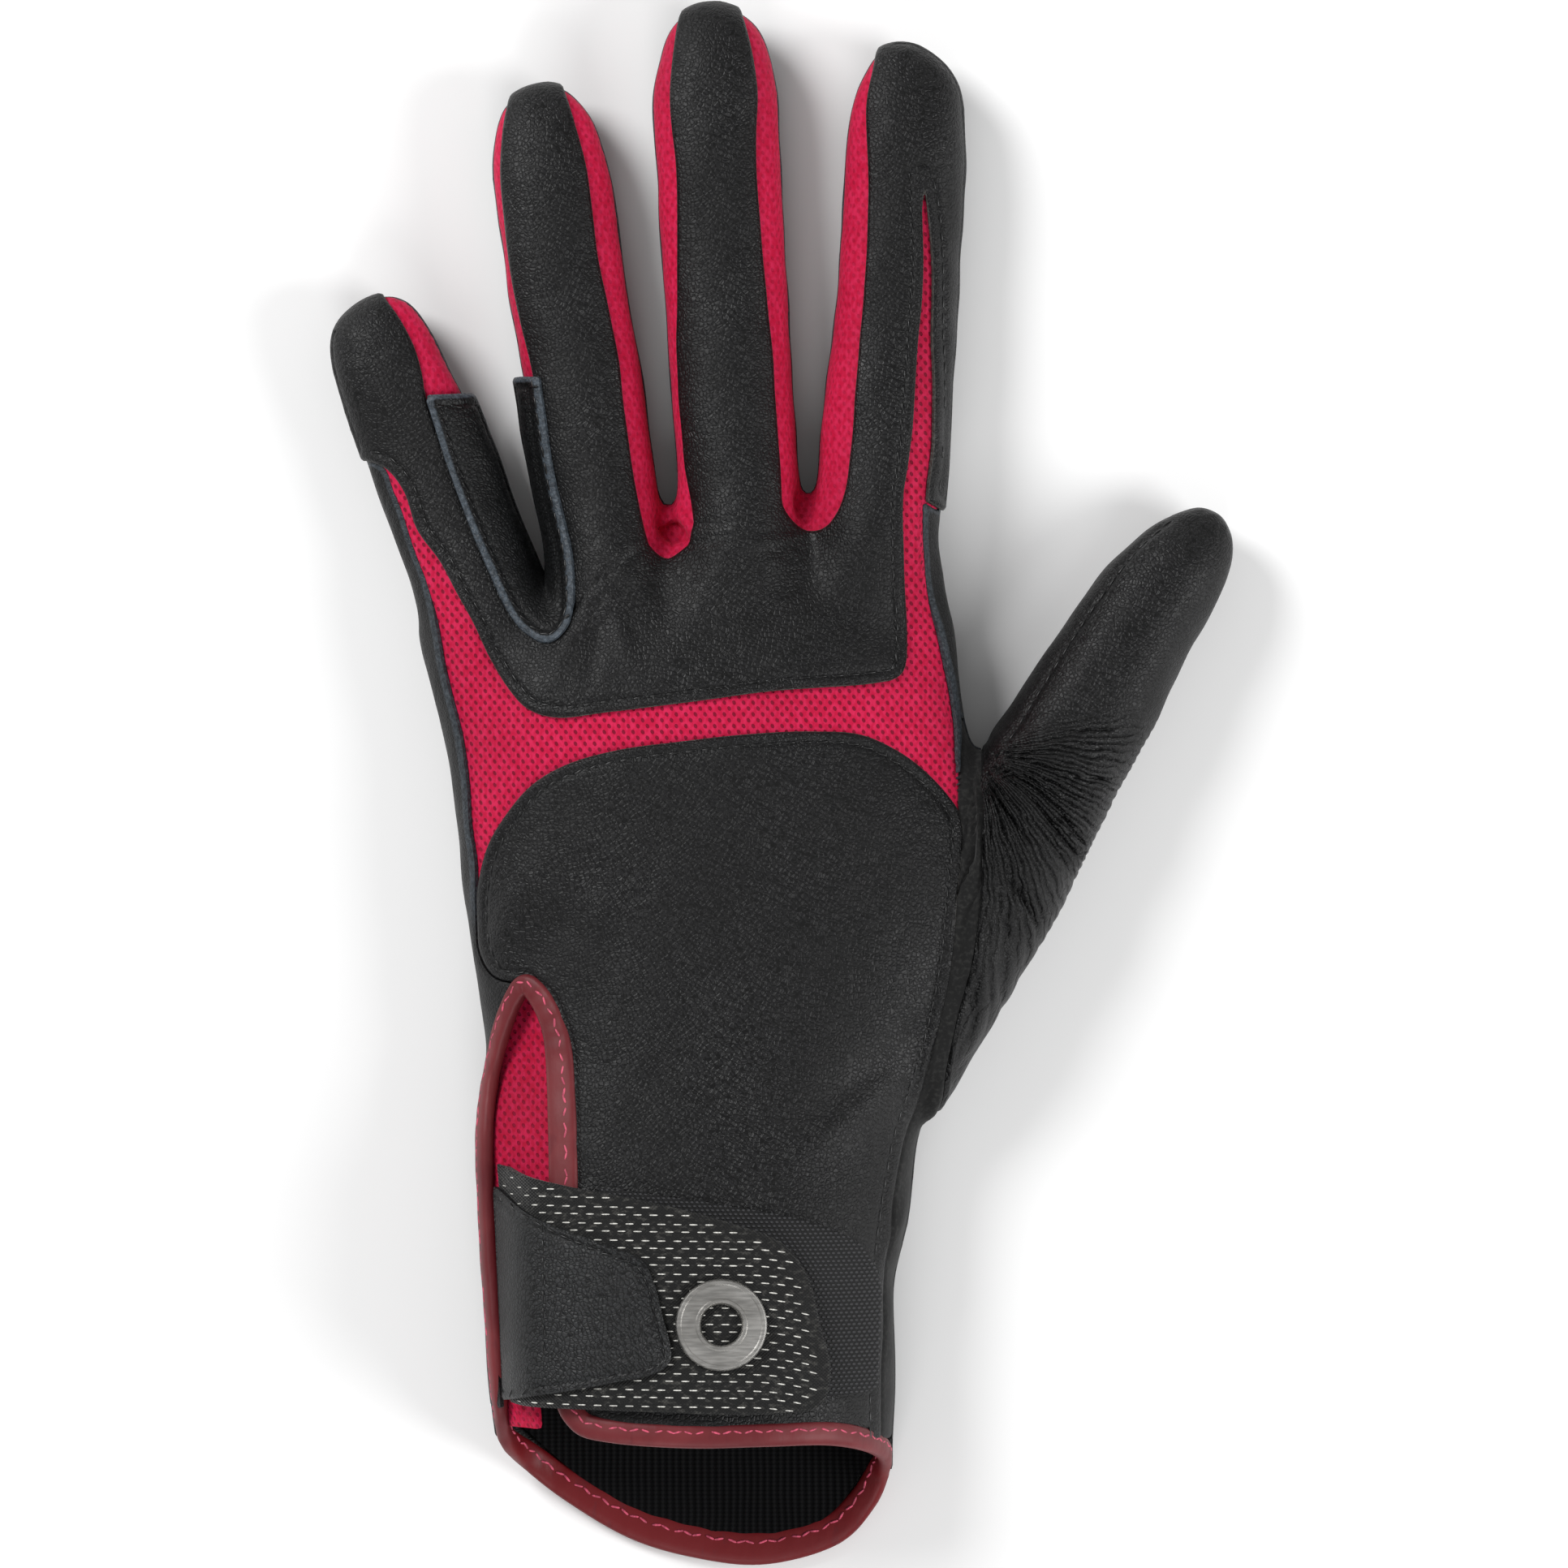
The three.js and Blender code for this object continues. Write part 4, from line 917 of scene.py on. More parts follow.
def leather(name, dark, light, raw, roughness=0.45, fan=False, raw_width=0.14):
    """Fine pebbled leather with creases, patches of sheen and a paler raw cut edge. The patches of sheen are
    painted lighter, the grooves between pebbles get painted shade, and with fan the pleats' grooves get
    painted shade too.
    """
    s = Surface(name, Roughness=roughness, Specular_IOR_Level=0.26)
    patches = s.noise(55, 3)
    bent = s.new("ShaderNodeVectorMath", operation="ADD")
    s.feed(bent.inputs[0], s.place)
    shift = s.new("ShaderNodeTexNoise")
    s.feed(shift.inputs["Vector"], s.place)
    shift.inputs["Scale"].default_value = 420
    scaled = s.new("ShaderNodeVectorMath", operation="SCALE")
    s.feed(scaled.inputs[0], shift.outputs["Color"])
    scaled.inputs["Scale"].default_value = 0.0006
    s.feed(bent.inputs[1], scaled.outputs[0])
    pebbles = s.ramp(s.cells(1500, bent.outputs[0]), 0.0, 0.26)
    creases = s.noise(1, 4, s.stretched((300, 850, 600), (0, 0, 0.6)), 0.5)
    # Lighter in the glossier patches: painted sheen, besides the real lower roughness there.
    body = s.mix(s.ramp(patches, 0.35, 0.7), dark, light)
    # Darkened in the grooves between pebbles: painted shade.
    body = s.mix(s.ramp(pebbles, 0.0, 0.8, 0.85, 0.0), body, colour(3, 3, 3))
    if fan:
        pleats = fan_pleats(s)
        # Darkened in the pleats' grooves: painted shade.
        body = s.mix(s.times(pleats, 0.55), body, colour(4, 4, 4))
    fuzz = s.mix(s.ramp(s.noise(1500, 3), 0.35, 0.7), tuple(0.45 * value for value in raw[:3]) + (1,), raw)
    shown = s.times(s.ramp(s.edge(), raw_width * 0.6, raw_width, 1.0, 0.0),
                   s.ramp(s.parts()[1], -14, -6))
    s.set("Base Color", s.mix(shown, body, fuzz))
    s.set("Roughness", s.ramp(patches, 0.3, 0.75, roughness + 0.06, roughness - 0.05))
    folds = s.bump(creases, 0.22, 0.8)
    if fan:
        folds = s.bump(s.times(pleats, -1.0), 0.45, 0.9, folds)
    s.set("Normal", s.bump(pebbles, 0.07, 0.9, folds))
    return s.material


def fan_pleats(s):
    """Fine wrinkles that fan out from the thumb's fork: the mask for their bump and for the painted shade in
    their grooves.
    """
    x, y, _ = s.parts()
    x = s.minus(x, GATHER[0])
    y = s.minus(y, GATHER[1])
    angle = s.calc("ARCTAN2", y, x)
    reach = s.calc("SQRT", s.plus(s.times(x, x), s.times(y, y)))
    angle = s.plus(angle, s.times(reach, math.radians(GATHER_BEND)))
    warp = s.plus(s.times(s.noise(110, 2), 9.0), s.times(s.noise(420, 2), 3.0))
    wave = s.absolute(s.sine(s.plus(s.times(angle, 62.0), warp)))
    window = s.times(s.ramp(reach, 3, 12), s.ramp(reach, 44, 62, 1.0, 0.0))
    window = s.times(window, s.ramp(angle, -1.85, -1.6))
    window = s.times(window, s.ramp(angle, 0.15, 0.6, 1.0, 0.0))
    return s.times(s.power(s.minus(1.0, wave), 1.6), window)


def staggered(s, across, along, width, height):
    """Place within the cells of a grid whose rows are shifted by half a cell, -0.5 to 0.5 each way."""
    row = s.over(along, height)
    shift = s.times(s.floor(row), 0.5)
    u = s.minus(s.fraction(s.plus(s.over(across, width), shift)), 0.5)
    v = s.minus(s.fraction(row), 0.5)
    return u, v


def knit_mesh(name, yarn, shade, glint, openness):
    """Warp-knit mesh: staggered rows of small slanted holes between plump loops."""
    s = Surface(name, Roughness=0.75, Specular_IOR_Level=0.15, Sheen_Weight=0.12, Sheen_Roughness=0.4)
    s.shader.inputs["Sheen Tint"].default_value = colour(255, 150, 180)
    x, y, z = s.parts()
    holes = []
    for across in (x, z):
        u, v = staggered(s, across, y, 1.5, 0.92)
        slanted = s.plus(u, s.times(v, 0.16))
        first = s.power(s.absolute(s.over(slanted, 0.17)), 2.0)
        second = s.power(s.absolute(s.over(v, 0.36)), 2.0)
        holes.append(s.ramp(s.plus(first, second), 0.5, 1.5, 1.0, 0.0))
    normal = s.new("ShaderNodeSeparateXYZ")
    s.feed(normal.inputs[0], s.new("ShaderNodeNewGeometry").outputs["Normal"])
    steep = s.ramp(s.absolute(normal.outputs[0]), 0.74, 0.86)
    blend = s.new("ShaderNodeMix", data_type="FLOAT")
    s.feed(blend.inputs[0], steep)
    s.feed(blend.inputs[2], holes[0])
    s.feed(blend.inputs[3], holes[1])
    hole = blend.outputs[0]
    loops = s.noise(1, 2, s.stretched((1700, 900, 1200), (0, 0, 0.25)))
    dark_patches = s.noise(40, 2)
    body = s.mix(s.ramp(loops, 0.35, 0.7), yarn, glint)
    # Random patches darkened towards the shade colour.
    body = s.mix(s.ramp(dark_patches, 0.35, 0.75, 0.0, 0.25), body, shade)
    s.set("Base Color", s.mix(s.times(hole, openness), body, shade))
    height = s.plus(s.times(loops, 0.35), s.times(hole, -openness))
    s.set("Normal", s.bump(height, 0.22, 0.8))
    return s.material


def suede(name, base, fleck):
    s = Surface(name, Roughness=0.9, Specular_IOR_Level=0.12, Sheen_Weight=0.12, Sheen_Roughness=0.5)
    nap = s.noise(1500, 3)
    clouds = s.noise(130, 3)
    body = s.mix(s.ramp(nap, 0.45, 0.72), base, fleck)
    s.set("Base Color", s.mix(s.ramp(clouds, 0.4, 0.7, 0.0, 0.35), body, colour(14, 14, 15)))
    s.set("Normal", s.bump(nap, 0.10, 0.7))
    return s.material


def thread(name, base, roughness=0.5):
    s = Surface(name, Roughness=roughness, Specular_IOR_Level=0.4)
    twist = s.noise(1, 1, s.stretched((2600, 900, 1500), (0, 0, 0.5)))
    darker = tuple(0.6 * value for value in base[:3]) + (1,)
    # Darker in the twist's grooves: painted shade.
    s.set("Base Color", s.mix(s.ramp(twist, 0.4, 0.6), darker, base))
    s.set("Normal", s.bump(twist, 0.05, 0.6))
    return s.material


def binding_leather():
    s = Surface("binding", Roughness=0.5, Specular_IOR_Level=0.3)
    grain = s.noise(900, 4)
    clouds = s.noise(90, 3)
    folds = s.noise(1, 3, s.stretched((500, 160, 300), (0, 0, 0.2)))
    body = s.mix(s.ramp(clouds, 0.35, 0.7), colour(96, 30, 35), colour(112, 41, 45))
    # Below the side seam the binding is painted a purer, darker red, and above it greyer: painted sheen on
    # the back side, which the palm side lacks.
    body = s.mix(s.ramp(s.parts()[2], 8, 13), colour(102, 14, 20), body)
    # Darker in the folds' hollows: painted shade.
    s.set("Base Color", s.mix(s.ramp(folds, 0.30, 0.42, 0.4, 0.0), body, colour(84, 24, 32)))
    s.set("Normal", s.bump(grain, 0.05, 0.6, s.bump(folds, 0.25, 0.6)))
    return s.material


def ribbed_knit():
    """Black knit with fine ribs along the hand."""
    s = Surface("lining", Roughness=0.95, Specular_IOR_Level=0.1)
    x, y, _ = s.parts()
    wobble = s.times(s.noise(60, 2), 1.2)
    rib = s.sine(s.times(s.plus(x, wobble), 2 * math.pi / 1.1))
    stitch = s.sine(s.times(y, 2 * math.pi / 0.7))
    height = s.plus(s.times(rib, 0.5), s.times(stitch, 0.2))
    # Lighter on the ribs' crests and darker in the furrows: painted light and shade.
    s.set("Base Color", s.mix(s.ramp(height, -0.4, 0.6), colour(6, 6, 7), colour(20, 20, 21)))
    s.set("Normal", s.bump(height, 0.2, 0.8))
    return s.material


def woven_patch():
    """Black woven tape with staggered raised dots."""
    s = Surface("patch", Roughness=0.7, Specular_IOR_Level=0.35)
    x, y, _ = s.parts()
    u, v = staggered(s, x, y, 0.8, 0.62)
    dot = s.ramp(s.plus(s.times(u, u), s.times(v, v)), 0.03, 0.2, 1.0, 0.0)
    fuzz = s.noise(2200, 2)
    height = s.plus(dot, s.times(fuzz, 0.4))
    # The raised dots are painted lighter and the ground between them near black: painted highlight and
    # shade.
    s.set("Base Color", s.mix(s.ramp(height, 0.5, 1.2), colour(3, 3, 4), colour(54, 54, 56)))
    s.set("Normal", s.bump(height, 0.3, 0.9))
    return s.material


def heather_webbing():
    """Black woven strap with grey flecks in its yarn."""
    s = Surface("strap", Roughness=0.85, Specular_IOR_Level=0.25, Sheen_Weight=0.15)
    x, y, _ = s.parts()
    warp = s.sine(s.times(x, 2 * math.pi / 0.55))
    weft = s.sine(s.times(y, 2 * math.pi / 0.5))
    weave = s.times(warp, weft)
    fleck = s.noise(1, 3, s.stretched((900, 1700, 1200)))
    body = s.mix(s.ramp(fleck, 0.5, 0.72), colour(20, 20, 20), colour(66, 65, 62))
    # Darker in the weave's hollows: painted shade.
    s.set("Base Color", s.mix(s.ramp(weave, -0.6, 0.2, 0.5, 0.0), body, colour(8, 8, 8)))
    s.set("Normal", s.bump(weave, 0.12, 0.8))
    return s.material


def satin_metal():
    s = Surface("metal", Metallic=1.0, Roughness=0.34)
    brushed = s.noise(1, 3, s.stretched((300, 2400, 300)))
    clouds = s.noise(180, 2)
    s.set("Base Color", s.mix(s.ramp(clouds, 0.3, 0.7), colour(176, 174, 170), colour(205, 203, 199)))
    s.set("Roughness", s.ramp(brushed, 0.3, 0.7, 0.28, 0.42))
    s.set("Normal", s.bump(brushed, 0.02, 0.5))
    return s.material


BLACK = leather("leather", colour(17, 17, 18), colour(26, 26, 27), colour(66, 64, 61))
THUMB_BLACK = leather("thumb_leather", colour(17, 17, 18), colour(26, 26, 27), colour(40, 40, 40),
                      fan=True)
GUARD_BLACK = leather("guard_leather", colour(16, 17, 18), colour(25, 26, 27), colour(72, 80, 88),
                      raw_width=0.95)
TAB_BLACK = leather("tab_leather", colour(33, 34, 35), colour(42, 43, 44), colour(40, 44, 48))
PALM_BLACK = leather("palm_leather", colour(16, 16, 17), colour(23, 23, 24), colour(58, 64, 70),
                     roughness=0.5, raw_width=0.9)
CRIMSON = knit_mesh("red_mesh", colour(182, 15, 58), colour(84, 5, 24), colour(200, 34, 78), 0.75)
FINE_CRIMSON = knit_mesh("fine_red_mesh", colour(186, 15, 58), colour(92, 5, 26), colour(204, 36, 80), 0.3)
# A darker copy of the red mesh for the vent's gusset: painted shade.
SHADED_CRIMSON = knit_mesh("gusset_mesh", colour(178, 12, 52), colour(76, 4, 22), colour(196, 30, 74), 0.6)
CHARCOAL = suede("suede", colour(27, 27, 27), colour(44, 44, 43))
BLACK_THREAD = thread("black_thread", colour(9, 9, 10), 0.35)
PINK_THREAD = thread("pink_thread", colour(210, 84, 112))
WHITE_THREAD = thread("white_thread", colour(222, 221, 214), 0.6)

# The skin with its normals and its distances to every outline
skin_points, SKIN_FACES = skin()
everywhere = np.full(len(skin_points), RELAX_SHARE)
skin_points = relax(skin_points, SKIN_FACES, everywhere, RELAX_ROUNDS)
_, skin_y, skin_z = skin_points.T
knuckles = ramp(skin_z, 11, 16) * ramp(skin_y, 24, 38) * (1 - ramp(skin_y, 58, 72))
skin_points = relax(skin_points, SKIN_FACES, RELAX_SHARE * knuckles, KNUCKLE_ROUNDS)
skin_points = deepen_forks(skin_points)
skin_normals = point_normals(skin_points, SKIN_FACES)
distances = np.stack([inside(REGIONS[name], skin_points) for name in FIELDS], 1)
SKIN_ROWS = np.concatenate([skin_points, skin_normals, distances], 1)

# Panels

def least(*values):
    return np.minimum.reduce(values)


def above_seam(rows):
    return rows[:, 2] - SEAM_HEIGHT - SEAM_GAP


def over_seam(rows):
    return least(above_seam(rows), -field(rows, "thumb"), -field(rows, "open"))


def on_fingers(rows):
    return ramp(rows[:, 1], 34, 44)


def palm_area(rows):
    z = rows[:, 2]
    return least(-least(field(rows, "back"), z - SEAM_HEIGHT), -field(rows, "thumb"),
                 -least(field(rows, "open"), z - SEAM_HEIGHT),
                 -least(field(rows, "palm_end"), SEAM_HEIGHT + SEAM_GAP - z))


def palm_lift(rows):
    return LEATHER_LIFT + (PALM_FINGER_LIFT - LEATHER_LIFT) * on_fingers(rows)


def panel_area(region):
    def area(rows):
        return least(over_seam(rows), field(rows, region), field(rows, "back") - 0.2)
    return area


def red_area(room):
    """The red mesh, all of it or only what lies in one finger fork."""
    def area(rows):
        lap = UNDERLAP * (1 - on_fingers(rows))
        whole = least(rows[:, 2] - SEAM_HEIGHT + lap, field(rows, "back") + lap,
                      UNDERLAP - field(rows, "knuckle"), UNDERLAP - field(rows, "panel"),
                      UNDERLAP - field(rows, "strip"), -field(rows, "thumb"), -field(rows, "open"),
                      rows[:, 1] - RED_END)
        if room:
            return least(whole, field(rows, room))
        return least(whole, *[-field(rows, name) for name in FORKS])
    return area


def plain_edge(depth, points):
    return -0.2 * (1 - ramp(depth, 0, 0.4))


def guard_area(rows):
    return least(above_seam(rows), field(rows, "guard"))


def lining_area(rows):
    vent = least(field(rows, "gusset"), rows[:, 2] - SEAM_HEIGHT)
    inset = LINING_INSET * ramp(-rows[:, 1], *LINING_END) * (1 - ramp(rows[:, 0], *LINING_SIDE))
    past_back = least(field(rows, "open"), rows[:, 2] - SEAM_HEIGHT)
    past_palm = least(field(rows, "palm_end"), SEAM_HEIGHT - rows[:, 2])
    return least(LINING_TOP - rows[:, 1], -vent, -inset - past_back, -inset - past_palm)


def gusset_area(rows):
    return least(field(rows, "gusset"), rows[:, 2] - GUSSET_BOTTOM)


def gusset_lift(rows):
    """The gusset lies just inside the side wall and sinks in towards the middle of the vent."""
    return GUSSET_SIDE_LIFT + (GUSSET_LIFT - GUSSET_SIDE_LIFT) * ramp(rows[:, 0], *GUSSET_FALL)


def strap_lift(rows):
    """The strap's left end comes out from under the binding, and then lies over the cuff's other edge."""
    return STRAP_END_LIFT + (STRAP_LIFT - STRAP_END_LIFT) * ramp(rows[:, 0], *STRAP_RISE)


def tab_lift(rows):
    return strap_lift(rows) + TAB_LIFT - STRAP_LIFT


def tab_area(rows):
    """The tab, with no hem at its left end, which goes in under the binding."""
    left_end = rows[:, 0] - TAB_END - TAB_END_SLOPE * (TAB_END_LEVEL - rows[:, 1])
    past_hems = 6 * left_end
    return least(field(rows, "tab"), above_seam(rows), past_hems)


def region_area(name):
    def area(rows):
        return least(field(rows, name), above_seam(rows))
    return area


def thumb_area(rows):
    return field(rows, "thumb") - 0.1


FEW = (0.22, 0.5)
TAB_LEVELS = (0.22, 0.5, 0.9, 1.2, 1.5, 2.0)

PIECES = [
    # piece and node, area, lift, thickness, edge shape, levels, refinements, surface, slot
    ("palm", palm_area, palm_lift, LEATHER, plain_edge, FEW, 0, PALM_BLACK, "leather"),
    ("knuckle_panel", panel_area("knuckle"), LEATHER_LIFT, LEATHER, panel_hem, HEM_LEVELS, 0, BLACK,
     "leather"),
    ("hand_panel", panel_area("panel"), LEATHER_LIFT, LEATHER, panel_hem, HEM_LEVELS, 0, BLACK, "leather"),
    ("side_strip", panel_area("strip"), 0.1, LEATHER, plain_edge, FEW, 0, CHARCOAL, "suede"),
    ("thumb", thumb_area, 0.3, LEATHER, thumb_hem, HEM_LEVELS, 1, THUMB_BLACK, "leather"),
    ("back_mesh", red_area(None), RED_LIFT, RED, plain_edge, (), 0, CRIMSON, "red_mesh"),
    *[(name, red_area(name), RED_LIFT, RED, plain_edge, (), 0, FINE_CRIMSON, "red_mesh") for name in FORKS],
    ("rein_guard", guard_area, GUARD_LIFT, GUARD, hem, HEM_LEVELS, 0, GUARD_BLACK, "leather"),
    ("vent_gusset", gusset_area, gusset_lift, GUSSET, plain_edge, (), 0, SHADED_CRIMSON, "red_mesh"),
    ("cuff_lining", lining_area, LINING_LIFT, LINING, plain_edge, (), 0, ribbed_knit(), "lining"),
    ("hook_patch", region_area("patch"), PATCH_LIFT, PATCH, plain_edge, FEW, 0, woven_patch(), "webbing"),
    ("strap", region_area("strap"), strap_lift, STRAP, plain_edge, FEW, 1, heather_webbing(), "webbing"),
    ("strap_tab", tab_area, tab_lift, TAB, tab_hem, TAB_LEVELS, 1, TAB_BLACK, "leather"),
]


def place_piece(piece, slot_name, *nodes):
    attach(piece, "root")
    if nodes:
        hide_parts(*nodes)


made = {}
for name, keep, lift, thickness, shape, levels, refine, surface, slot_name in PIECES:
    made[name] = shell_piece(name, keep, lift, thickness, shape, levels, refine, surface)
    place_piece(made[name], slot_name, name)


# Small repeated things: stitches and dashes, laid on a piece

DROP_FROM = 90


def tree_of(*things):
    points = []
    faces = []
    for thing in things:
        start = len(points)
        points += [tuple(vertex.co / MM) for vertex in thing.data.vertices]
        faces += [[i + start for i in face.vertices] for face in thing.data.polygons]
    return BVHTree.FromPolygons(points, faces)


def drop(tree, x, y):
    """Where a point seen from above lies on the top side, and the surface's direction there."""
    place, normal, _, _ = tree.ray_cast(Vector((x, y, DROP_FROM)), Vector((0, 0, -1)))
    return place, normal


CAPSULE_SIDES = 6
CAPSULE_RINGS = ((-1.0, 0.35), (-0.72, 0.85), (0.0, 1.0), (0.72, 0.85), (1.0, 0.35))


def capsules(name, places, surface, half_length, half_width, half_height):
    """One mesh of many small rounded bars. A place is centre, direction and normal."""
    turn = np.linspace(0, 2 * math.pi, CAPSULE_SIDES, endpoint=False)
    local = np.array([
        (along * half_length, wide * half_width * math.cos(t), wide * half_height * math.sin(t))
        for along, wide in CAPSULE_RINGS for t in turn])
    faces = []
    for i in range(len(CAPSULE_RINGS) - 1):
        for k in range(CAPSULE_SIDES):
            a = i * CAPSULE_SIDES + k
            b = i * CAPSULE_SIDES + (k + 1) % CAPSULE_SIDES
            faces += [(a, b + CAPSULE_SIDES, b), (a, a + CAPSULE_SIDES, b + CAPSULE_SIDES)]
    last = (len(CAPSULE_RINGS) - 1) * CAPSULE_SIDES
    for k in range(1, CAPSULE_SIDES - 1):
        faces += [(0, k, k + 1), (last, last + k + 1, last + k)]
    centres, along, up = (np.array([place[i] for place in places], float) for i in range(3))
    along -= (along * up).sum(1)[:, None] * up
    along /= np.linalg.norm(along, axis=1)[:, None]
    across = np.cross(up, along)
    points = (centres[:, None] + local[None, :, 0:1] * along[:, None]
              + local[None, :, 1:2] * across[:, None] + local[None, :, 2:3] * up[:, None])
    every = np.array(faces)[None] + (np.arange(len(places)) * len(local))[:, None, None]
    return mesh_piece(name, points.reshape(-1, 3), every.reshape(-1, 3), None, surface, math.radians(80))


def stitches_along(tree, line, outline, offset, pitch=STITCH_PITCH, rooms=(), closed=True):
    """Stitch places along a line set in from an outline, where the tree's top side carries them."""
    run = np.concatenate([line, line[:1]]) if closed else line
    length = np.concatenate([[0], np.cumsum(np.hypot(*np.diff(run, axis=0).T))])
    stops = np.arange(pitch / 2, length[-1], pitch)
    x = np.interp(stops, length, run[:, 0])
    y = np.interp(stops, length, run[:, 1])
    ahead = np.stack([np.interp(stops + 0.4, length, run[:, k]) for k in range(2)], 1)
    behind = np.stack([np.interp(stops - 0.4, length, run[:, k]) for k in range(2)], 1)
    along = ahead - behind
    along /= np.maximum(np.hypot(*along.T), 1e-6)[:, None]
    area = (run[:-1, 0] * run[1:, 1] - run[1:, 0] * run[:-1, 1]).sum()
    inward = np.stack([-along[:, 1], along[:, 0]], 1) * (1 if area > 0 else -1)
    centre = np.stack([x, y], 1) + inward * offset
    fits = np.ones(len(centre), bool)
    if offset:
        fits = inside(outline, centre) > offset * 0.85
    for room, low in rooms:
        fits &= inside(REGIONS[room], centre) > low
    places = []
    for spot, direction in zip(centre[fits], along[fits]):
        place, normal = drop(tree, *spot)
        if place is None or normal.z < 0.25:
            continue
        turned = direction + STITCH_SLANT * np.array([-direction[1], direction[0]])
        places.append((np.array(place) - STITCH_SINK * np.array(normal), (*turned, 0), tuple(normal)))
    return places


def black_stitches():
    """Stitches round the panels and the guard, along the tab and up the thumb's inner side."""
    tree = tree_of(*[made[name] for name in ("knuckle_panel", "hand_panel", "rein_guard", "strap_tab",
                                             "thumb", "palm")])
    places = []
    for region in ("knuckle", "panel"):
        outline = REGIONS[region]
        found = stitches_along(tree, outline, outline, STITCH_INSET, rooms=[("back", 1.6)])
        sewn = topstitched(np.array([place[0] for place in found]))
        places += [place for place, share in zip(found, sewn) if share > 0.5]
    places += stitches_along(tree, REGIONS["guard"], REGIONS["guard"], STITCH_INSET)
    tab_line = rounded(plan(TAB_OUTLINE), closed=False)
    places += stitches_along(tree, tab_line, REGIONS["tab"], TAB_STITCH_INSET, TAB_STITCH_PITCH,
                             closed=False)
    places += stitches_along(tree, THUMB_SEAM_LINE, THUMB_SEAM_LINE, 0, closed=False)
    return capsules("seam_stitches", places, BLACK_THREAD, 1.0, 0.26, 0.24)


def white_dashes():
    places = []
    for pair in range(DASH_PAIRS):
        for second in range(2):
            start_y = DASH_TOP - pair * PAIR_PITCH - second * PAIR_GAP
            for i in range(DASHES):
                x = DASH_LEFT + (i + 0.5 * second) * DASH_PITCH
                bend = max(0.0, x - DASH_BEND_START)
                spot = np.array([[x, start_y - DASH_SLOPE * (x - DASH_LEFT) - DASH_BEND * bend ** 2]])
                if inside(REGIONS["strap"], spot)[0] < DASH_MARGIN:
                    continue
                if inside(REGIONS["tab"], spot)[0] > DASH_UNDER_TAB:
                    continue
                place, normal = drop(strap_tree, *spot[0])
                if place is not None and normal.z > 0.2:
                    direction = (1, -DASH_SLOPE - 2 * DASH_BEND * bend, 0)
                    places.append((np.array(place) - DASH_SINK * np.array(normal), direction, tuple(normal)))
    return capsules("strap_dashes", places, WHITE_THREAD, 0.64, 0.125, 0.11)


place_piece(black_stitches(), "leather")
strap_tree = tree_of(made["strap"])
place_piece(white_dashes(), "webbing")


# Binding round the vent and the cuff

def skin_height(place, side, sink):
    """Height of the hand's skin over a point, on the back (side 1), the palm (-1) or between."""
    x, y = place
    along = y / HAND_LENGTH
    keys = [row[0] for row in HAND_ROWS]
    _, _, left, right, under, over = (
        float(smooth(keys, column, np.array([along]))[0]) for column in np.array(HAND_ROWS, float).T)
    off = min(0.985, abs(2 * (x / HAND_WIDTH - left) / (right - left) - 1))
    rise = (1 - off ** UPPER_ROUNDNESS) ** (1 / UPPER_ROUNDNESS)
    drop_share = min(1, FLOOR_PRESS * (1 - off ** LOWER_ROUNDNESS) ** (1 / LOWER_ROUNDNESS))
    upper = SEAM_HEIGHT + (over * HAND_DEPTH - sink - SEAM_HEIGHT) * rise
    lower = SEAM_HEIGHT - (SEAM_HEIGHT - under * HAND_DEPTH - sink) * drop_share
    return lower + (upper - lower) * (side + 1) / 2


def skin_direction(place, side):
    step = 0.5
    x, y = place
    upward = []
    for face in (1, -1):
        slope_x = (skin_height((x + step, y), face, 0) - skin_height((x - step, y), face, 0)) / (2 * step)
        slope_y = (skin_height((x, y + step), face, 0) - skin_height((x, y - step), face, 0)) / (2 * step)
        upward.append(np.array([-slope_x, -slope_y, 1.0]) * face)
    outward = np.array([math.copysign(1.0, x), 0, 0])
    mixed = upward[0] * max(side, 0) + upward[1] * max(-side, 0) + outward * (1 - abs(side))
    return mixed / np.linalg.norm(mixed)


def closed_spline(values, count):
    """Catmull-Rom values round a closed loop of rows."""
    values = np.array(values, float)
    t = np.linspace(0, len(values), count, endpoint=False)
    i = t.astype(int)
    f = (t - i)[:, None]
    a, b, c, d = (values[(i + k) % len(values)] for k in (-1, 0, 1, 2))
    return 0.5 * (2 * b + (c - a) * f + (2 * a - 5 * b + 4 * c - d) * f ** 2
                  + (3 * b - a - 3 * c + d) * f ** 3)


def binding_line():
    """Centre, direction, surface normal and half width along the binding."""
    rows = closed_spline(BINDING_ROWS, BINDING_COUNT)
    xy = rows[:, :2] * (HAND_WIDTH, HAND_LENGTH)
    xy[:, 0] += rows[:, 4]
    side = np.clip(rows[:, 2], -1, 1)
    z = [skin_height(place, face, BINDING_SINK) for place, face in zip(xy, side)]
    centre = np.column_stack([xy, z])
    lowest = BINDING_HALF_THICKNESS + 0.1
    centre[:, 2] = np.maximum(centre[:, 2], lowest)
    along = np.roll(centre, -1, axis=0) - np.roll(centre, 1, axis=0)
    along /= np.linalg.norm(along, axis=1)[:, None]
    normal = np.array([skin_direction(place, face) for place, face in zip(xy, side)])
    for _ in range(6):
        normal = (np.roll(normal, 1, axis=0) + normal + np.roll(normal, -1, axis=0)) / 3
    normal -= (normal * along).sum(1)[:, None] * along
    normal /= np.linalg.norm(normal, axis=1)[:, None]
    return centre, along, normal, rows[:, 3]


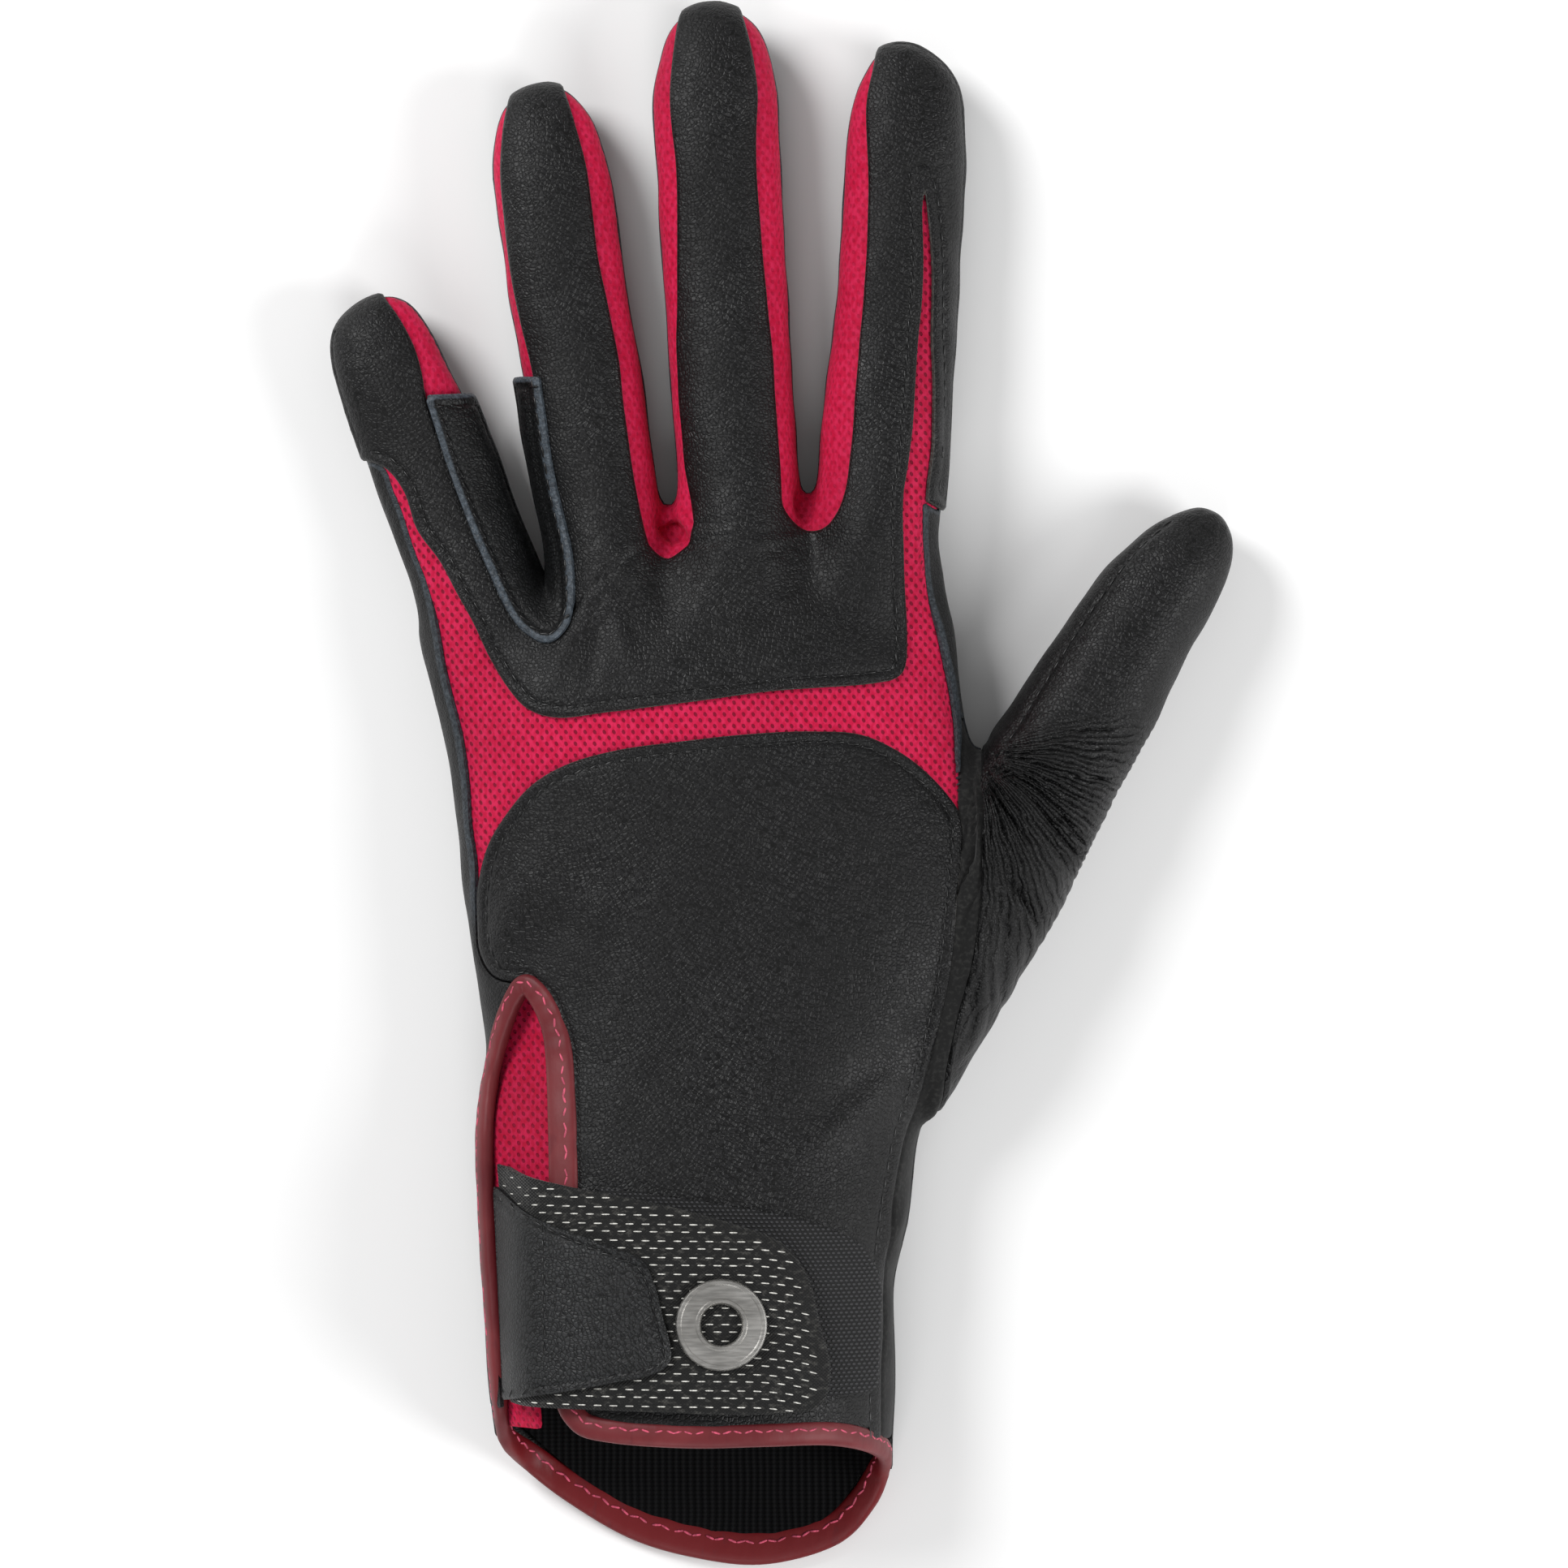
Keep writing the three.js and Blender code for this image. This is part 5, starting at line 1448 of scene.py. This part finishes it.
def make_binding():
    centre, along, normal, half = binding_line()
    across = np.cross(normal, along)
    turn = np.linspace(0, 2 * math.pi, BINDING_SECTION, endpoint=False)
    wide = np.sign(np.cos(turn)) * np.abs(np.cos(turn)) ** BINDING_SQUARENESS
    tall = np.sign(np.sin(turn)) * np.abs(np.sin(turn)) ** BINDING_SQUARENESS
    groove = 0.22 * np.exp(-((wide - STITCH_SHIFT) / 0.16) ** 2) * (tall > 0)
    wave = 1 + 0.03 * np.sin(np.arange(BINDING_COUNT) * 0.9) + 0.03 * np.sin(np.arange(BINDING_COUNT) * 0.37)
    points = (centre[:, None] + across[:, None] * (half[:, None] * wide)[..., None]
              + normal[:, None] * ((tall - groove) * BINDING_HALF_THICKNESS * wave[:, None])[..., None])
    faces = ring_faces(BINDING_COUNT, BINDING_SECTION, closed=True)
    return mesh_piece("cuff_binding_fine", points.reshape(-1, 3), faces, None, binding_leather(),
                      math.radians(70))


place_piece(make_binding(), "binding", "cuff_binding")


def binding_stitches():
    """Pink stitches through the binding, seen on its outer and on its inner side."""
    centre, along, normal, half = binding_line()
    across = np.cross(normal, along)
    length = np.concatenate([[0], np.cumsum(np.linalg.norm(np.diff(centre, axis=0), axis=1))])
    places = []
    for number, stop in enumerate(np.arange(1.0, length[-1], BINDING_STITCH)):
        i = int(np.searchsorted(length, stop)) % BINDING_COUNT
        skew = 0.3 if number % 2 else -0.3
        for face in (1, -1):
            lift = face * BINDING_HALF_THICKNESS * (0.84 if face > 0 else 1.0)
            spot = centre[i] + across[i] * half[i] * STITCH_SHIFT + normal[i] * lift
            if spot[2] > 0.3:
                places.append((spot, along[i] + skew * across[i], normal[i]))
    return capsules("binding_stitches", places, PINK_THREAD, 0.72, 0.2, 0.2)


place_piece(binding_stitches(), "binding")


# Metal ring on the strap

RING_PROFILE = (                # radius and height of a bevelled washer with raised rims
    (RING_HOLE, 0.25), (RING_HOLE + 0.12, 0.95), (RING_HOLE + 0.4, 1.2), (RING_HOLE + 0.75, 1.2),
    (RING_HOLE + 0.95, 1.02), (RING_RADIUS - 0.95, 1.02), (RING_RADIUS - 0.75, 1.2),
    (RING_RADIUS - 0.35, 1.2), (RING_RADIUS - 0.05, 0.9), (RING_RADIUS, 0.4),
    (RING_RADIUS - 0.1, 0.1), (RING_RADIUS - 0.4, 0.0), (RING_HOLE + 0.3, 0.0),
)
RING_STEPS = 96
RING_PROBE = 6                 # how far from its middle the strap's slope is read


def metal_ring():
    x, y = plan([RING_PLACE])[0]
    heights = {}
    for key, (dx, dy) in {"right": (1, 0), "left": (-1, 0), "top": (0, 1), "bottom": (0, -1)}.items():
        heights[key] = drop(strap_tree, x + dx * RING_PROBE, y + dy * RING_PROBE)[0].z
    slope_x = (heights["left"] - heights["right"]) / (2 * RING_PROBE)
    slope_y = (heights["bottom"] - heights["top"]) / (2 * RING_PROBE)
    slope = Vector((slope_x, slope_y, 1))
    up = np.array(slope.normalized())
    side = np.cross((0, 1, 0), up)
    side /= np.linalg.norm(side)
    front = np.cross(up, side)
    base = np.array([x, y, max(heights.values()) + 0.1])
    base[2] = max(sum(heights.values()) / 4 + 0.25, base[2] - 0.8)
    turn = np.linspace(0, 2 * math.pi, RING_STEPS, endpoint=False)
    spokes = np.cos(turn)[:, None] * side + np.sin(turn)[:, None] * front
    profile = np.array(RING_PROFILE)
    points = base + spokes[:, None] * profile[None, :, 0:1] + up * profile[None, :, 1:2]
    faces = [(a, d, c, b) for a, b, c, d in ring_faces(RING_STEPS, len(profile), closed=True)]
    return mesh_piece("metal_ring_fine", points.reshape(-1, 3), faces, None, satin_metal(), math.radians(40))


place_piece(metal_ring(), "metal", "metal_ring")


# Floor, light and camera, in metres

FLOOR_SIZE = 6
FLOOR_LEVEL = -0.0002
LIGHT_SIZE = 0.6
LIGHTS = (                     # name, place, power
    ("key", (-0.75, 0.65, 0.85), 13), ("fill", (0.95, -0.25, 0.65), 8.5), ("front", (-0.1, -1.0, 0.8), 4.5),
)
WORLD_STRENGTH = 0.32
FRAME_WIDTH = 0.2473           # what the photograph's frame spans at the glove
FRAME_CENTRE = (0.0123, 0.01075)
CAMERA_HEIGHT = 1.6
SENSOR = 36


def plane(name, size, place, surface):
    half = size / 2
    corners = [(-half, -half, 0), (half, -half, 0), (half, half, 0), (-half, half, 0)]
    mesh = bpy.data.meshes.new(name)
    mesh.from_pydata(corners, [], [(0, 1, 2, 3)])
    mesh.materials.append(surface)
    thing = scene_object(name, mesh)
    thing.location = place
    return thing


floor_surface = Surface("floor", Roughness=0.9, Specular_IOR_Level=0.1)
floor_surface.set("Base Color", colour(246, 246, 246))
plane("floor", FLOOR_SIZE, (0, 0, FLOOR_LEVEL), floor_surface.material)


def soft_light(name, place, power):
    lamp = bpy.data.lights.new(name, "AREA")
    lamp.shape = "DISK"
    lamp.size = LIGHT_SIZE
    lamp.energy = power
    thing = scene_object(name, lamp)
    thing.location = place
    thing.rotation_euler = (Vector((0, 0, 0)) - Vector(place)).to_track_quat("-Z", "Y").to_euler()


for light in LIGHTS:
    soft_light(*light)

world = bpy.data.worlds.new("studio")
world.use_nodes = True
world.node_tree.nodes["Background"].inputs["Color"].default_value = (1, 1, 1, 1)
world.node_tree.nodes["Background"].inputs["Strength"].default_value = WORLD_STRENGTH
bpy.context.scene.world = world
bpy.context.scene.view_settings.view_transform = "Standard"

camera = bpy.data.cameras.new("camera")
camera.sensor_width = SENSOR
camera.lens = camera.sensor_width * (CAMERA_HEIGHT - SEAM_HEIGHT * MM) / FRAME_WIDTH
camera_object = scene_object("camera", camera)
camera_object.location = (*FRAME_CENTRE, CAMERA_HEIGHT)
bpy.context.scene.camera = camera_object
